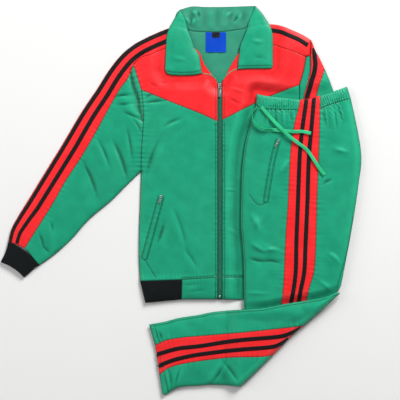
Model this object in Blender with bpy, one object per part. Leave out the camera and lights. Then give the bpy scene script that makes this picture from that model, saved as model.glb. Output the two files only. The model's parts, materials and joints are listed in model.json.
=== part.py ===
"""A zip tracksuit laid flat: the jacket spread out with one sleeve folded down, the trousers folded lengthwise
on its right half with the lower leg turned over to the left.

All sizes are in mm, x to the right and y towards the collar, from the middle of the laid-out set. The cloth lies on
z = 0. Every seam and edge is a named line, every cut piece is the area between such lines, and a height function
for each layer gives the cloth its thickness, its rounded edges and its largest folds.
"""

import math

import bmesh
import bpy
import numpy as np
from mathutils import Matrix, Vector
from mathutils.geometry import delaunay_2d_cdt

MM = 0.001
WALL = 1.2
GAP = 0.3
EDGE_STEP = 24.0
GRID = 36.0
EDGE_RINGS = (6.0,)

# Heights of the jacket's front above the floor
SIDE_EDGE_Z = 2.7
HEM_EDGE_Z = 4.6
HEM_FROM_Y = -190.0
ROUND_R = 28.0
ROUND_RISE = 6.0
PUFF_RISE = 4.0
PUFF_R = 75.0
# How far what lies on the jacket presses it down, and how far round it the cloth lifts again
PRESS_TROUSERS = 0.13
PRESS_COLLAR = 0.4
PRESS_NECK = 0.35
PRESS_MARGIN = 10.0
PRESS_FADE = 30.0
# The trousers' folded stack
REST_Z = 5.3
REST_MARGIN = 20.0
REST_FADE = 34.0
LAYER = 1.2
STACK_EDGE = 5.4
STACK_INSIDE = 3.6
STACK_ROUND = 5.0
STACK_PUFF = 3.0
TURN_Z = 8.6
TURN_FADE = 48.0
FOLD_R = 14.0
FOLD_EDGE_Z = 3.0
# Tapes, ribs, gathers
TAPE_LIFT = 0.3
TAPE_WALL = 1.0
TAPE_WIDTH = 11.0
RIB_PITCH = 8.0
RIB_RISE = 0.9
GATHER_PITCH = 8.0
GATHER_RISE = 1.6
# Front zip
ZIP_X = 103.5
ZIP_TOP_Y = 312.0
ZIP_END_Y = -262.0
ZIP_TAPE = 28.0
COIL_WIDTH = 4.6
ZIP_STATIONS = (-262, -256, -250, -244, -238, -230, -220, -205)
# Slider and tab of the front zip: width, length, thickness; and how high the tab's tip lies above the coil
SLIDER_SIZE = (9.0, 13.0, 2.9)
TAB_SIZE = (7.2, 25.4, 1.3)
TAB_REST = 0.6
TAB_END = 1.0
POCKET_ZIP_SCALE = 0.6

# Edges and seams of the jacket: rows of x, y
JACKET = {
    "shoulder_left": [(20, 452), (-13, 461), (-37, 455), (-80, 437), (-121, 416)],
    "sleeve_fold_left": [
        (-121, 416), (-155, 389), (-188, 349), (-222, 296), (-263, 235), (-310, 156), (-351, 89),
        (-405, 1), (-429, -38), (-449, -75), (-457, -109),
    ],
    "yoke_top_left": [(30, 425), (-41, 403), (-78, 387), (-106, 379), (-125, 360)],
    "sleeve_seam_left": [
        (-125, 360), (-141, 322), (-161, 296), (-198, 231), (-229, 174), (-263, 116), (-307, 49),
        (-333, 2), (-374, -64), (-413, -126),
    ],
    "armhole_yoke_left": [(-125, 360), (-113, 322), (-104, 293)],
    "armhole_front_left": [(-104, 293), (-100, 251), (-99, 208), (-104, 134), (-105.5, 76)],
    "underarm_left": [
        (-105.5, 76), (-114, 68.5), (-145, 38.6), (-182, 1.5), (-242, -49), (-286, -99), (-331, -140.5),
        (-374.4, -171.6),
    ],
    "cuff_red_left": [(-457, -109), (-438.6, -115), (-413, -126)],
    "cuff_green_left": [(-413, -126), (-394.6, -147), (-374.4, -171.6)],
    "yoke_low_left": [(-104, 293), (-30, 263), (51, 231), (97, 210)],
    "neck_left": [(30, 425), (49, 394), (64, 362), (79, 339), (91, 325), (97, 312)],
    "side_left": [(-105.5, 76), (-108, 1.5), (-111, -80), (-111, -168), (-108, -213)],
    "hem_rib_left": [(-108, -213), (-50, -211), (3, -209)],
    "hem_band_left": [(3, -209), (50, -206), (97, -203)],
    "shoulder_right": [(165, 455), (183, 460), (235, 467), (267, 463), (294, 452), (321, 440), (345, 425)],
    "yoke_top_right": [(176, 425), (244, 412), (291, 397), (332, 380)],
    "neck_right": [(176, 425), (155, 394), (138, 367), (120, 334), (110, 315)],
    "yoke_low_right": [(110, 214), (196, 258), (240, 278), (315, 307)],
    "armhole_right": [(332, 380), (326, 345), (315, 307)],
    "side_right": [(315, 307), (314, 240), (313, 100), (312, -80), (311, -206)],
    "hem_band_right": [(110, -203), (155, -203), (200, -204)],
    "hem_rib_right": [(200, -204), (255, -205), (311, -206)],
    "fold_right": [
        (346, 425), (343.5, 384), (343, 343), (333.5, 302), (325, 266), (321.5, 187), (321, 1), (324, -184),
    ],
    "sleeve_top_right": [(346, 425), (352.5, 408), (358, 394), (368, 377), (381, 349)],
    "sleeve_out_right": [
        (381, 349), (392, 324), (403, 294), (422, 235), (435, 160), (438, 54), (427, -78), (414, -184),
    ],
    "sleeve_seam_right": [(381, 349), (370, 315), (360, 281), (354, 200), (352, 50), (355, -184)],
    "neck_back": [(20, 452), (42, 448), (103, 447), (152, 453), (165, 455)],
}
HEM_LOW_LEFT = [(-94, -271), (2, -262), (97, -262)]
HEM_LOW_RIGHT = [(110, -262), (200, -264), (299, -268)]
# Left cuff, from the sleeve seam to the open end: x and y of its two sides, and its height
CUFF_LEFT = [
    (-457, -109, -374.4, -171.6, 9.0),
    (-461, -126, -384.0, -176.0, 8.5),
    (-467, -143, -392.0, -184.0, 8.0),
    (-477.5, -163, -415.0, -204.0, 7.5),
]
CUFF_RIGHT = [
    (324.5, -184.5, 413.5, -184.5, 3.4),
    (326, -208, 410, -208, 3.4),
    (327, -232, 408, -232, 3.4),
    (328, -255, 406, -255, 3.4),
]
CUFF_SEAM_BOW = 7.0
CUFF_END_BOW = 5.0
# Collar: rows of x, y
COLLAR_BACK = {
    "top": [(-2, 506), (30, 514.5), (67, 513), (128, 513.5), (197, 516)],
    "right": [(197, 516), (213, 499), (222, 484)],
    "low": [(222, 484), (178, 461), (165, 455)],
    "left": [(20, 452), (-15, 487), (-2, 506)],
}
LEAF_LEFT = {
    "fold": [(-2, 506), (-19, 479), (-31.5, 455), (-38, 437), (-40.3, 396), (-42.7, 347)],
    "corner": [(-42.7, 347), (-41, 339), (-36.6, 335)],
    "low": [(-36.6, 335), (-19, 331), (30, 331), (56.5, 336)],
    "front": [(56.5, 336), (52, 366), (49, 386), (37, 403), (30, 425), (20, 449), (12.5, 479), (-2, 506)],
}
LEAF_RIGHT = {
    "fold": [(197, 516), (213, 499), (231, 472), (240, 455), (244, 432), (244, 354)],
    "corner": [(244, 354), (243, 350.5), (239, 349)],
    "low": [(239, 349), (177, 348), (150, 347)],
    "front": [(150, 347), (150, 357), (155, 393), (157, 410), (164, 428), (174, 453), (179, 474), (197, 516)],
}
LABEL = (66, 393, 120, 446)
SIZE_TAB = (83, 432, 103, 446)

# Edges and seams of the trousers: rows of x, y
TROUSERS = {
    "waist_front": [(201, 283), (220, 278), (267, 273), (316, 267)],
    "waist_side": [(316, 267), (345, 271), (369, 278)],
    "waist_back": [(369, 278), (405, 289), (440, 302)],
    "band_end_front": [(201, 283), (199, 254)],
    "band_end_back": [(440, 302), (450, 271)],
    "band_low_front": [(199, 254), (220, 243), (288, 241), (311, 241)],
    "band_low_back": [(368, 244), (406, 258), (450, 271)],
    "side_top_left": [(316, 267), (311, 241)],
    "side_top_right": [(369, 278), (368, 244)],
    "front_edge": [
        (199, 254), (189.5, 227), (182.6, 200), (173, 166), (166, 126), (161, 76), (159, 1), (158.5, -66),
        (164, -134), (166.5, -201), (167, -296),
    ],
    "front_edge_hidden": [(167, -296), (163, -390), (159, -492)],
    "back_edge": [
        (450, 271), (456, 244), (467, 193), (477, 133), (477.6, 92), (472, 52), (465, 1), (453, -73),
        (440, -144), (424, -226),
    ],
    "side_left": [
        (311, 241), (301, 204), (294, 160), (289, 109), (284, 1), (277.5, -99), (272, -218), (265.5, -282),
    ],
    "side_right": [
        (368, 244), (367, 211), (365, 143), (359.6, 1), (356.7, -117), (351.7, -188), (340, -228), (331, -271),
    ],
    "end_front": [(167, -296), (220, -292), (265.5, -282)],
    "end_side": [(265.5, -282), (300, -276), (331, -271)],
    "end_back": [(331, -271), (375, -263), (408, -248), (424, -226)],
}
LOWER_LEG = {
    "top": [
        (-84, -328), (-40, -320), (-6, -311), (51, -302), (85, -295), (166, -287.5), (220, -283.5),
        (267, -274), (332, -263.5), (375, -255.5), (414, -242), (423, -245.5),
    ],
    "fold_top": [(423, -245.5), (384, -282), (328, -331.3)],
    "fold_side": [(328, -331.3), (303, -350), (245, -409.3)],
    "fold_low": [(245, -409.3), (186, -468), (159, -492.7)],
    "low": [(159, -492.7), (118, -489), (71, -488), (51, -490), (-6, -494.6), (-43, -515.8)],
    "hem_low": [(-43, -515.8), (-48, -515.8), (-56.7, -461.5)],
    "hem_side": [(-56.7, -461.5), (-62, -421), (-68.4, -384)],
    "hem_top": [(-68.4, -384), (-74, -364), (-84, -328)],
    "seam_top": [(-68.4, -384), (-40, -370), (11, -361.6), (51, -358.4), (169, -348), (328, -331.3)],
    "seam_low": [(-56.7, -461.5), (-36.6, -445), (-6, -434), (51, -424), (132, -414.6), (213, -412.7), (245, -409.3)],
}
# Middle lines of the black tapes
SIDE_TAPES = {
    "trousers_tape_front": [
        (333, 280), (330.7, 256), (321, 188), (314.6, 121), (311.4, 41), (306, -99), (302.7, -201), (288, -290),
    ],
    "trousers_tape_back": [
        (353, 284), (351, 256), (345, 188), (339, 121), (336, 41), (335, 1), (329.7, -117), (326.5, -187),
        (316, -242), (309, -290),
    ],
}
LOWER_TAPES = {
    "lower_leg_tape_top": [
        (-75, -412), (-53, -404), (-6, -391), (51, -384.6), (152, -369), (254, -360), (290, -351), (318, -338),
    ],
    "lower_leg_tape_low": [
        (-70, -444), (-40, -429.4), (-6, -418), (51, -406.6), (152, -394), (237, -387), (266, -378), (286, -366),
    ],
}
# Left sleeve tapes, from the neck to the cuff: share of the way, and where each tape begins and ends, from the fold
SLEEVE_TAPES = [
    (0.00, 1.0, 12.0, 24.0, 36.0),
    (0.25, 1.0, 12.5, 25.0, 37.0),
    (0.60, 2.4, 13.0, 29.0, 40.5),
    (0.85, 2.6, 13.0, 28.0, 39.0),
    (1.00, 1.0, 9.5, 19.0, 28.0),
]
RIGHT_SHOULDER_TAPE = [(0.0, 11.0, 22.5), (1.0, 10.5, 22.0)]
RIGHT_SLEEVE_TAPE = [(0.03, 3.0, 15.0), (0.10, 7.0, 19.0), (0.17, 2.5, 15.0), (1.0, 2.5, 14.5)]
# Pocket zips: the way each one runs, from its slider down
POCKET_JACKET = [(-52, 10), (-75, -75), (-97, -154)]
POCKET_TROUSERS = [(258, 158), (254, 150), (240, 92), (224, -4)]
POCKET_JACKET_WIDTH = 12.0
POCKET_TROUSERS_WIDTH = 8.0
# Drawstring ends, from the hole in the band to the tip: x, y, lift above the cloth, and turn of the flat cord
DRAWSTRING_WIDTH = 9.0
DRAWSTRING_THICK = 1.6
DRAWSTRING_LONG = [
    (212.6, 247, 3.0, 0), (228, 229, 3.2, 0), (251.5, 203.4, 5.6, 0), (265, 190, 6.6, 0), (275, 180, 6.6, 0),
    (287, 169, 6.2, 0), (303.7, 156.3, 4.0, 0), (332, 135, 3.0, 0), (346, 116, 3.0, 0), (367.6, 83, 3.0, 0),
    (379.5, 68, 3.0, 0),
]
DRAWSTRING_SHORT = [
    (200.5, 247, 6.8, 80), (189.5, 232, 6.8, 84), (189.5, 215.4, 6.8, 84), (197.2, 201.3, 6.8, 84),
    (213.6, 190.4, 6.8, 80), (235, 187, 5.0, 40), (252, 186, 3.2, 4), (275, 183.6, 3.0, 0), (299, 182, 3.0, 0),
    (322.5, 182, 3.0, 0), (343.7, 177.5, 3.0, 0),
]
# The largest folds of each layer: x and y of both ends, half-width, and rise (a trough is negative)
JACKET_FOLDS = [
    (-132, 340, -105, 215, 11, -3.6),
    (-118, 330, -92, 210, 10, 2.2),
    (-148, 268, -112, 208, 12, 2.6),
    (-160, 155, -148, 62, 16, -2.4),
    (-222, 160, -194, 88, 16, 2.2),
    (-260, 94, -228, 15, 18, -2.4),
    (-347, -56, -330, -150, 14, 2.0),
    (-43, 193, 2, 213, 14, 2.2),
    (-45, 165, -84, 60, 20, 2.2),
    (-24, -25, 38, -178, 22, 2.4),
    (-48, -60, -64, -112, 16, -2.0),
    (118, 33, 158, 33, 10, 2.0),
]
TROUSERS_FOLDS = [
    (379, 243, 388, 198, 9, -2.2),
    (403, 248, 414, 185, 10, 2.2),
    (417, 253, 432, 210, 9, -2.2),
    (406, 139, 440, 131, 12, 2.0),
    (188, -50, 204, -70, 18, 2.2),
    (192, -112, 258, -134, 12, 2.2),
    (188, -160, 262, -166, 12, -2.0),
    (388, -143, 418, -168, 14, 2.2),
    (281, 109, 260, 78, 12, 2.0),
]
LOWER_LEG_FOLDS = [
    (-36, -450, -28, -496, 9, 2.6),
    (0, -444, -14, -488, 10, 2.6),
    (71, -486, 110, -432, 14, 3.0),
    (110, -432, 150, -484, 14, 2.4),
    (-76, -344, -62, -376, 9, 2.0),
]
# Colours and finish of each material: red, green and blue as sRGB hex, roughness, metallic
FINISHES = {
    "green_tricot": (0x26A77A, 0.45, 0.0),
    "red_tricot": (0xFF343C, 0.45, 0.0),
    "black_tape": (0x171514, 0.6, 0.0),
    "black_rib": (0x1B201F, 0.85, 0.0),
    "zip_tape": (0x0C5B45, 0.8, 0.0),
    "zip_coil": (0x2E7D66, 0.5, 0.0),
    "zip_metal": (0xB9BCBE, 0.3, 1.0),
    "label_satin": (0x0A4CCB, 0.5, 0.0),
    "size_tab": (0x1A1D22, 0.6, 0.0),
    "drawstring": (0x2CC88A, 0.55, 0.0),
}


def clear_scene():
    for item in list(bpy.data.objects):
        bpy.data.objects.remove(item, do_unlink=True)


def smooth(share):
    share = np.clip(share, 0.0, 1.0)
    return share * share * (3 - 2 * share)


def linear(value):
    value /= 255.0
    return value / 12.92 if value <= 0.04045 else ((value + 0.055) / 1.055) ** 2.4


def finish(name):
    found = bpy.data.materials.get(name)
    if found:
        return found
    colour, roughness, metallic = FINISHES[name]
    made = bpy.data.materials.new(name)
    made.use_nodes = True
    shader = made.node_tree.nodes["Principled BSDF"]
    rgb = [linear((colour >> shift) & 255) for shift in (16, 8, 0)]
    shader.inputs["Base Color"].default_value = (*rgb, 1.0)
    shader.inputs["Roughness"].default_value = roughness
    shader.inputs["Metallic"].default_value = metallic
    return made


def curve(rows, step=EDGE_STEP):
    """Points every step or so along a smooth line through rows."""
    rows = np.array(rows, float)
    ends = np.vstack([2 * rows[0] - rows[1], rows, 2 * rows[-1] - rows[-2]])
    dense = []
    for a, b, c, d in zip(ends, ends[1:], ends[2:], ends[3:]):
        for t in np.arange(12) / 12:
            dense.append(
                0.5 * (2 * b + (c - a) * t + (2 * a - 5 * b + 4 * c - d) * t**2
                       + (3 * b - a - 3 * c + d) * t**3)
            )
    dense = np.array([*dense, rows[-1]])
    along = np.concatenate([[0], np.cumsum(np.linalg.norm(np.diff(dense[:, :2], axis=0), axis=1))])
    count = max(1, round(along[-1] / step))
    at = np.linspace(0, along[-1], count + 1)
    return np.stack([np.interp(at, along, dense[:, k]) for k in range(dense.shape[1])], axis=1)


def signed_area(shape):
    ahead = np.roll(shape, -1, axis=0)
    return np.sum(shape[:, 0] * ahead[:, 1] - ahead[:, 0] * shape[:, 1]) / 2


def anticlockwise(shape):
    return shape if signed_area(shape) > 0 else shape[::-1]


def outline(*lines):
    """One closed outline from lines that follow each other. A line given as (rows, -1) runs backwards."""
    points = []
    for item in lines:
        backwards = isinstance(item, tuple) and len(item) == 2 and item[1] == -1
        line = curve(item[0])[::-1] if backwards else curve(item)
        points.extend(line[:-1, :2])
    return np.array(points)


def segments_distance(points, line, closed=True):
    """Each point's distance to a line of straight segments."""
    ends = np.roll(line, -1, axis=0) if closed else line[1:]
    starts = line if closed else line[:-1]
    best = np.full(len(points), 1e9)
    for a, b in zip(starts, ends):
        way = b - a
        share = np.clip(((points - a) @ way) / max(way @ way, 1e-9), 0, 1)
        best = np.minimum(best, np.linalg.norm(points - a - share[:, None] * way, axis=1))
    return best


def inside(points, shape):
    found = np.zeros(len(points), bool)
    for a, b in zip(shape, np.roll(shape, -1, axis=0)):
        crosses = (a[1] > points[:, 1]) != (b[1] > points[:, 1])
        x = a[0] + (points[:, 1] - a[1]) * (b[0] - a[0]) / (b[1] - a[1] if b[1] != a[1] else 1e-9)
        found ^= crosses & (points[:, 0] < x)
    return found


def outside_distance(points, shape):
    """0 inside a closed shape, and the distance to it outside."""
    return np.where(inside(points, shape), 0.0, segments_distance(points, shape))


def inset(shape, depth):
    """A closed shape moved inwards."""
    side = 1.0 if signed_area(shape) > 0 else -1.0
    before = shape - np.roll(shape, 1, axis=0)
    after = np.roll(shape, -1, axis=0) - shape
    before /= np.linalg.norm(before, axis=1)[:, None]
    after /= np.linalg.norm(after, axis=1)[:, None]
    normal_a = side * np.stack([-before[:, 1], before[:, 0]], axis=1)
    normal_b = side * np.stack([-after[:, 1], after[:, 0]], axis=1)
    middle = normal_a + normal_b
    length = np.linalg.norm(middle, axis=1)[:, None]
    middle /= np.maximum(length, 1e-6)
    reach = depth / np.maximum(np.sum(middle * normal_a, axis=1), 0.45)
    return shape + middle * reach[:, None]


def folds_height(points, folds):
    height = np.zeros(len(points))
    for x0, y0, x1, y1, half, rise in folds:
        a, way = np.array([x0, y0], float), np.array([x1 - x0, y1 - y0], float)
        share = ((points - a) @ way) / (way @ way)
        held = np.clip(share, 0, 1)
        away = np.linalg.norm(points - a - held[:, None] * way, axis=1) / half
        height += rise * np.exp(-away * away) * (0.45 + 0.55 * np.sin(np.pi * held))
    return height


J, T, L = JACKET, TROUSERS, LOWER_LEG
BODY_OUTLINE = outline(
    J["shoulder_left"], J["sleeve_fold_left"], [(-457, -109), (-462, -134), (-477.5, -163)],
    [(-477.5, -163), (-442, -183), (-415, -204)], [(-415, -204), (-390, -178), (-374.4, -171.6)],
    (J["underarm_left"], -1), J["side_left"], [(-108, -213), (-94, -271)], HEM_LOW_LEFT,
    [(97, -262), (110, -262)], HEM_LOW_RIGHT, [(299, -268), (311, -206)], (J["side_right"], -1),
    (J["armhole_right"], -1), [(332, 380), (343, 384), (345, 425)], (J["shoulder_right"], -1),
    (J["neck_back"], -1),
)
SLEEVE_RIGHT_OUTLINE = outline(
    J["sleeve_top_right"], J["sleeve_out_right"], [(414, -184), (406, -255)], [(406, -255), (328, -255)],
    [(328, -255), (324, -184)], (J["fold_right"], -1),
)
TROUSERS_OUTLINE = outline(
    T["waist_front"], T["waist_side"], T["waist_back"], T["band_end_back"], T["back_edge"],
    [(424, -226), (423, -245.5)], L["fold_top"], L["fold_side"], L["fold_low"],
    (T["front_edge_hidden"], -1), (T["front_edge"], -1), (T["band_end_front"], -1),
)
LOWER_OUTLINE = outline(
    L["top"], L["fold_top"], L["fold_side"], L["fold_low"], L["low"], L["hem_low"], L["hem_side"], L["hem_top"],
)
FOLD_LINE = np.vstack([curve(L[name])[:, :2] for name in ("fold_top", "fold_side", "fold_low")])
NECK_OPENING = np.vstack([
    curve(J["neck_left"])[:, :2], curve(J["neck_right"])[::-1, :2],
])


def leaf_outline(leaf):
    return outline(leaf["fold"], leaf["corner"], leaf["low"], leaf["front"])


LEAF_LEFT_OUTLINE = leaf_outline(LEAF_LEFT)
LEAF_RIGHT_OUTLINE = leaf_outline(LEAF_RIGHT)


def rounding(distance, radius):
    """0 at an edge, 1 from radius inwards, as a quarter circle."""
    left = 1 - np.clip(distance, 0, radius) / radius
    return np.sqrt(np.maximum(0.0, 1 - left * left))


def jacket_press(points):
    """1 where nothing presses on the jacket, less under the trousers, the collar and at the open neck."""
    press = np.ones(len(points))
    covers = (
        (TROUSERS_OUTLINE, PRESS_TROUSERS), (LEAF_LEFT_OUTLINE, PRESS_COLLAR),
        (LEAF_RIGHT_OUTLINE, PRESS_COLLAR), (NECK_OPENING, PRESS_NECK),
    )
    for shape, least in covers:
        away = outside_distance(points, shape)
        press = np.minimum(press, least + (1 - least) * smooth((away - PRESS_MARGIN) / PRESS_FADE))
    return press


def laid_height(points, shape):
    press = jacket_press(points)
    edge = SIDE_EDGE_Z + (HEM_EDGE_Z - SIDE_EDGE_Z) * smooth((HEM_FROM_Y - points[:, 1]) / 20) * press
    away = segments_distance(points, shape) * inside(points, shape)
    rise = ROUND_RISE * rounding(away, ROUND_R) + PUFF_RISE * smooth(away / PUFF_R)
    rise += folds_height(points, JACKET_FOLDS) * smooth(away / 10)
    return edge + np.maximum(rise, 0) * press


def jacket_height(points):
    return laid_height(points, BODY_OUTLINE)


def right_sleeve_height(points):
    return laid_height(points, SLEEVE_RIGHT_OUTLINE)


def trousers_rest(points):
    """The surface that the trousers lie on: the jacket, then the floor."""
    away = np.minimum(outside_distance(points, BODY_OUTLINE), outside_distance(points, SLEEVE_RIGHT_OUTLINE))
    return REST_Z * (1 - smooth((away - REST_MARGIN) / REST_FADE))


def turned_cover(points):
    """1 where the turned-over lower leg presses on the upper leg."""
    return 1 - smooth(outside_distance(points, LOWER_OUTLINE) / 24)


def trousers_height(points):
    away = segments_distance(points, TROUSERS_OUTLINE) * inside(points, TROUSERS_OUTLINE)
    rise = STACK_ROUND * rounding(away, 20.0) + STACK_PUFF * smooth(away / 60)
    rise += folds_height(points, TROUSERS_FOLDS) * smooth(away / 10)
    press = 1 - 0.95 * turned_cover(points)
    return trousers_rest(points) + STACK_EDGE + np.maximum(rise, 0) * press


def turned_rest(points):
    """The surface that the lower leg lies on: the upper leg, then the floor."""
    away = outside_distance(points, TROUSERS_OUTLINE)
    return (trousers_rest(points) + TURN_Z) * (1 - smooth(away / TURN_FADE))


def lower_height(points):
    within = inside(points, LOWER_OUTLINE)
    away = segments_distance(points, LOWER_OUTLINE) * within
    rise = STACK_ROUND * rounding(away, 20.0) + STACK_PUFF * smooth(away / 60)
    rise += folds_height(points, LOWER_LEG_FOLDS) * smooth(away / 10)
    full = turned_rest(points) + STACK_EDGE + np.maximum(rise, 0)
    turn = rounding(segments_distance(points, FOLD_LINE, closed=False) * within, FOLD_R)
    return FOLD_EDGE_Z + (full - FOLD_EDGE_Z) * turn


def leaf_height(shape):
    def height(points):
        away = segments_distance(points, BODY_OUTLINE)
        within = inside(points, BODY_OUTLINE)
        under = np.where(within, jacket_height(points), SIDE_EDGE_Z * (1 - smooth(away / 30)))
        under = np.maximum(under, WALL + GAP)
        edge = segments_distance(points, shape) * inside(points, shape)
        return under + WALL + 1.0 + 3.2 * rounding(edge, 12.0) + 1.5 * smooth(edge / 30)

    return height


def collar_back_height(points):
    across = (points[:, 0] - 97) / 100
    fold = np.sin(across * 9.0) ** 2 * smooth(segments_distance(points, collar_back_outline()) / 20)
    return WALL + 2.0 * fold


def collar_back_outline():
    c = COLLAR_BACK
    return outline(c["top"], c["right"], c["low"], (J["neck_back"], -1), c["left"])


def slope_normals(points, height):
    """Upward normals of a height function, with a limit on how steep they get."""
    e = 0.8
    dx = (height(points + [e, 0]) - height(points - [e, 0])) / (2 * e)
    dy = (height(points + [0, e]) - height(points - [0, e])) / (2 * e)
    steep = np.hypot(dx, dy)
    limit = np.minimum(1.0, 0.8 / np.maximum(steep, 1e-6))
    normals = np.stack([-dx * limit, -dy * limit, np.ones(len(points))], axis=1)
    return normals / np.linalg.norm(normals, axis=1)[:, None]


def add_object(name, points, faces, material, smooth_angle=50):
    mesh = bpy.data.meshes.new(name)
    mesh.from_pydata([tuple(p * MM) for p in points], [], faces)
    mesh.validate()
    made = bpy.data.objects.new(name, mesh)
    bpy.context.scene.collection.objects.link(made)
    mesh.materials.append(finish(material))
    mesh.shade_smooth()
    mesh.set_sharp_from_angle(angle=math.radians(smooth_angle))
    return made


def clear_of(points, shape, loops, least):
    """The points that are inside a shape and at least some distance from its edges and inner edges."""
    keep = inside(points, shape)
    for loop in loops:
        keep &= segments_distance(points, loop) > least
    return points[keep]


def triangulate(shape, inner=(), rings=(), grid=GRID, extra=None):
    """Triangles that fill a closed shape, with the edges of the inner shapes in them.

    Gives the points, the triangles and, for each triangle, which of the inner shapes it is in.
    """
    shape, inner = anticlockwise(shape), [anticlockwise(loop) for loop in inner]
    loops = [shape, *inner]
    lists = [shape]
    edges_away = min(grid * 0.5, 9.0)
    for depth in rings:
        ring = inset(shape, depth)
        keep = inside(ring, shape) & (segments_distance(ring, shape) > depth * 0.8)
        lists.append(ring[keep])
    low, high = shape.min(axis=0), shape.max(axis=0)
    rows = np.arange(low[1] + grid * 0.5, high[1], grid * 0.87)
    cells = [
        (x + (grid / 2 if k % 2 else 0), y)
        for k, y in enumerate(rows)
        for x in np.arange(low[0] + grid * 0.5, high[0], grid)
    ]
    if extra is not None:
        lists.append(clear_of(extra, shape, loops, 1.4))
    cells = clear_of(np.array(cells).reshape(-1, 2), shape, loops, edges_away)
    others = np.vstack(lists[1:]) if len(lists) > 1 else np.zeros((0, 2))
    if len(others) and len(cells):
        near = np.min(np.linalg.norm(cells[:, None] - others[None], axis=2), axis=1)
        cells = cells[near > grid * 0.4]
    lists.append(cells)
    points, faces, start = list(shape), [list(range(len(shape)))], len(shape)
    for loop in inner:
        faces.append(list(range(start, start + len(loop))))
        points.extend(loop)
        start += len(loop)
    for group in lists[1:]:
        group = group.reshape(-1, 2)
        for loop in inner:
            if len(group):
                group = group[segments_distance(group, loop) > 1.0]
        points.extend(group)
    found = delaunay_2d_cdt([Vector(p) for p in points], [], faces, 1, 1e-4, True)
    flat, triangles, origins = found[0], found[2], found[5]
    flat = np.array([tuple(p) for p in flat])
    kept, member = [], []
    for triangle, origin in zip(triangles, origins):
        if 0 not in origin or len(triangle) != 3:
            continue
        a, b, c = (flat[i] for i in triangle)
        turn = (b[0] - a[0]) * (c[1] - a[1]) - (b[1] - a[1]) * (c[0] - a[0])
        if abs(turn) < 1e-3:
            continue
        kept.append(tuple(triangle) if turn > 0 else tuple(triangle)[::-1])
        member.append(set(origin))
    return flat, kept, member


def slab(name, flat, triangles, top, bottom, material):
    """A closed solid between two sheets of the same triangles."""
    used = sorted({i for t in triangles for i in t})
    order = {old: new for new, old in enumerate(used)}
    faces = [tuple(order[i] for i in t) for t in triangles]
    count = len(used)
    points = np.vstack([top[used], bottom[used]])
    edges = {}
    for a, b, c in faces:
        for pair in ((a, b), (b, c), (c, a)):
            edges[pair] = True
    solid = list(faces)
    solid += [(a + count, c + count, b + count) for a, b, c in faces]
    for a, b in edges:
        if (b, a) not in edges:
            solid.append((a + count, b + count, b))
            solid.append((a + count, b, a))
    return add_object(name, points, solid, material)


def sheet_points(flat, height, normals, lift):
    return np.column_stack([flat, height(flat)]) + normals * lift


def panel(name, shape, height, material, tapes=(), rings=EDGE_RINGS, grid=GRID, extra=None, raised=None,
          wall=WALL):
    """A cut piece of cloth as a wall on its layer's surface, and the tapes or welts that lie on it."""
    shape = inset(shape, GAP / 2)
    flat, triangles, member = triangulate(shape, [loop for _, loop, _ in tapes], rings, grid, extra)
    normals = slope_normals(flat, height)
    top = sheet_points(flat, height, normals, 0.0)
    bottom = sheet_points(flat, height, normals, -wall)
    if raised is not None:
        top = sheet_points(flat, height, normals, 1.0 * raised(flat)[:, None])
    slab(name, flat, triangles, top, bottom, material)
    for number, (tape, _, tape_material) in enumerate(tapes, start=1):
        chosen = [t for t, origin in zip(triangles, member) if number in origin]
        low = sheet_points(flat, height, normals, TAPE_LIFT)
        high = sheet_points(flat, height, normals, TAPE_LIFT + TAPE_WALL)
        slab(tape, flat, chosen, high, low, tape_material)


def beside(line, rows, side=1.0):
    """A band that runs beside a line: rows of share of the way, near edge and far edge."""
    points = curve(line, EDGE_STEP)[:, :2]
    along = np.concatenate([[0], np.cumsum(np.linalg.norm(np.diff(points, axis=0), axis=1))])
    share = along / along[-1]
    way = np.gradient(points, axis=0)
    way /= np.linalg.norm(way, axis=1)[:, None]
    normal = side * np.stack([-way[:, 1], way[:, 0]], axis=1)
    table = np.array(rows, float)
    near = np.interp(share, table[:, 0], table[:, 1])[:, None]
    far = np.interp(share, table[:, 0], table[:, 2])[:, None]
    keep = (share >= table[0, 0] - 1e-9) & (share <= table[-1, 0] + 1e-9)
    return np.vstack([(points + normal * near)[keep], (points + normal * far)[keep][::-1]])


def band(line, width, step=EDGE_STEP):
    half = width / 2
    points = curve(line, step)[:, :2]
    way = np.gradient(points, axis=0)
    way /= np.linalg.norm(way, axis=1)[:, None]
    normal = np.stack([-way[:, 1], way[:, 0]], axis=1)
    return np.vstack([points + normal * half, (points - normal * half)[::-1]])


def flat_panel(name, shape, material, bottom=0.0, wall=WALL):
    shape = inset(shape, GAP / 2)
    flat, triangles, _ = triangulate(shape, grid=200.0)
    top = np.column_stack([flat, np.full(len(flat), bottom + wall)])
    low = np.column_stack([flat, np.full(len(flat), bottom)])
    slab(name, flat, triangles, top, low, material)


def rectangle(x0, y0, x1, y1):
    return np.array([(x0, y0), (x1, y0), (x1, y1), (x0, y1)], float)


def wave_points(along, across, pitch, rows=(0.12, 0.5, 0.88)):
    """Points on the crests and in the troughs of ribs or gathers between two lines."""
    first, second = curve(along, pitch / 2)[:, :2], curve(across, pitch / 2)[:, :2]
    count = max(len(first), len(second))
    share = np.linspace(0, 1, count)
    a = np.stack([np.interp(share, np.linspace(0, 1, len(first)), first[:, k]) for k in (0, 1)], axis=1)
    b = np.stack([np.interp(share, np.linspace(0, 1, len(second)), second[:, k]) for k in (0, 1)], axis=1)
    return np.vstack([a + (b - a) * r for r in rows])


def ribs(pitch, rise, lean=0.0):
    def raised(points):
        phase = (points[:, 0] + lean * points[:, 1]) / pitch
        return rise * (0.5 + 0.5 * np.cos(2 * np.pi * phase))

    return raised


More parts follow.
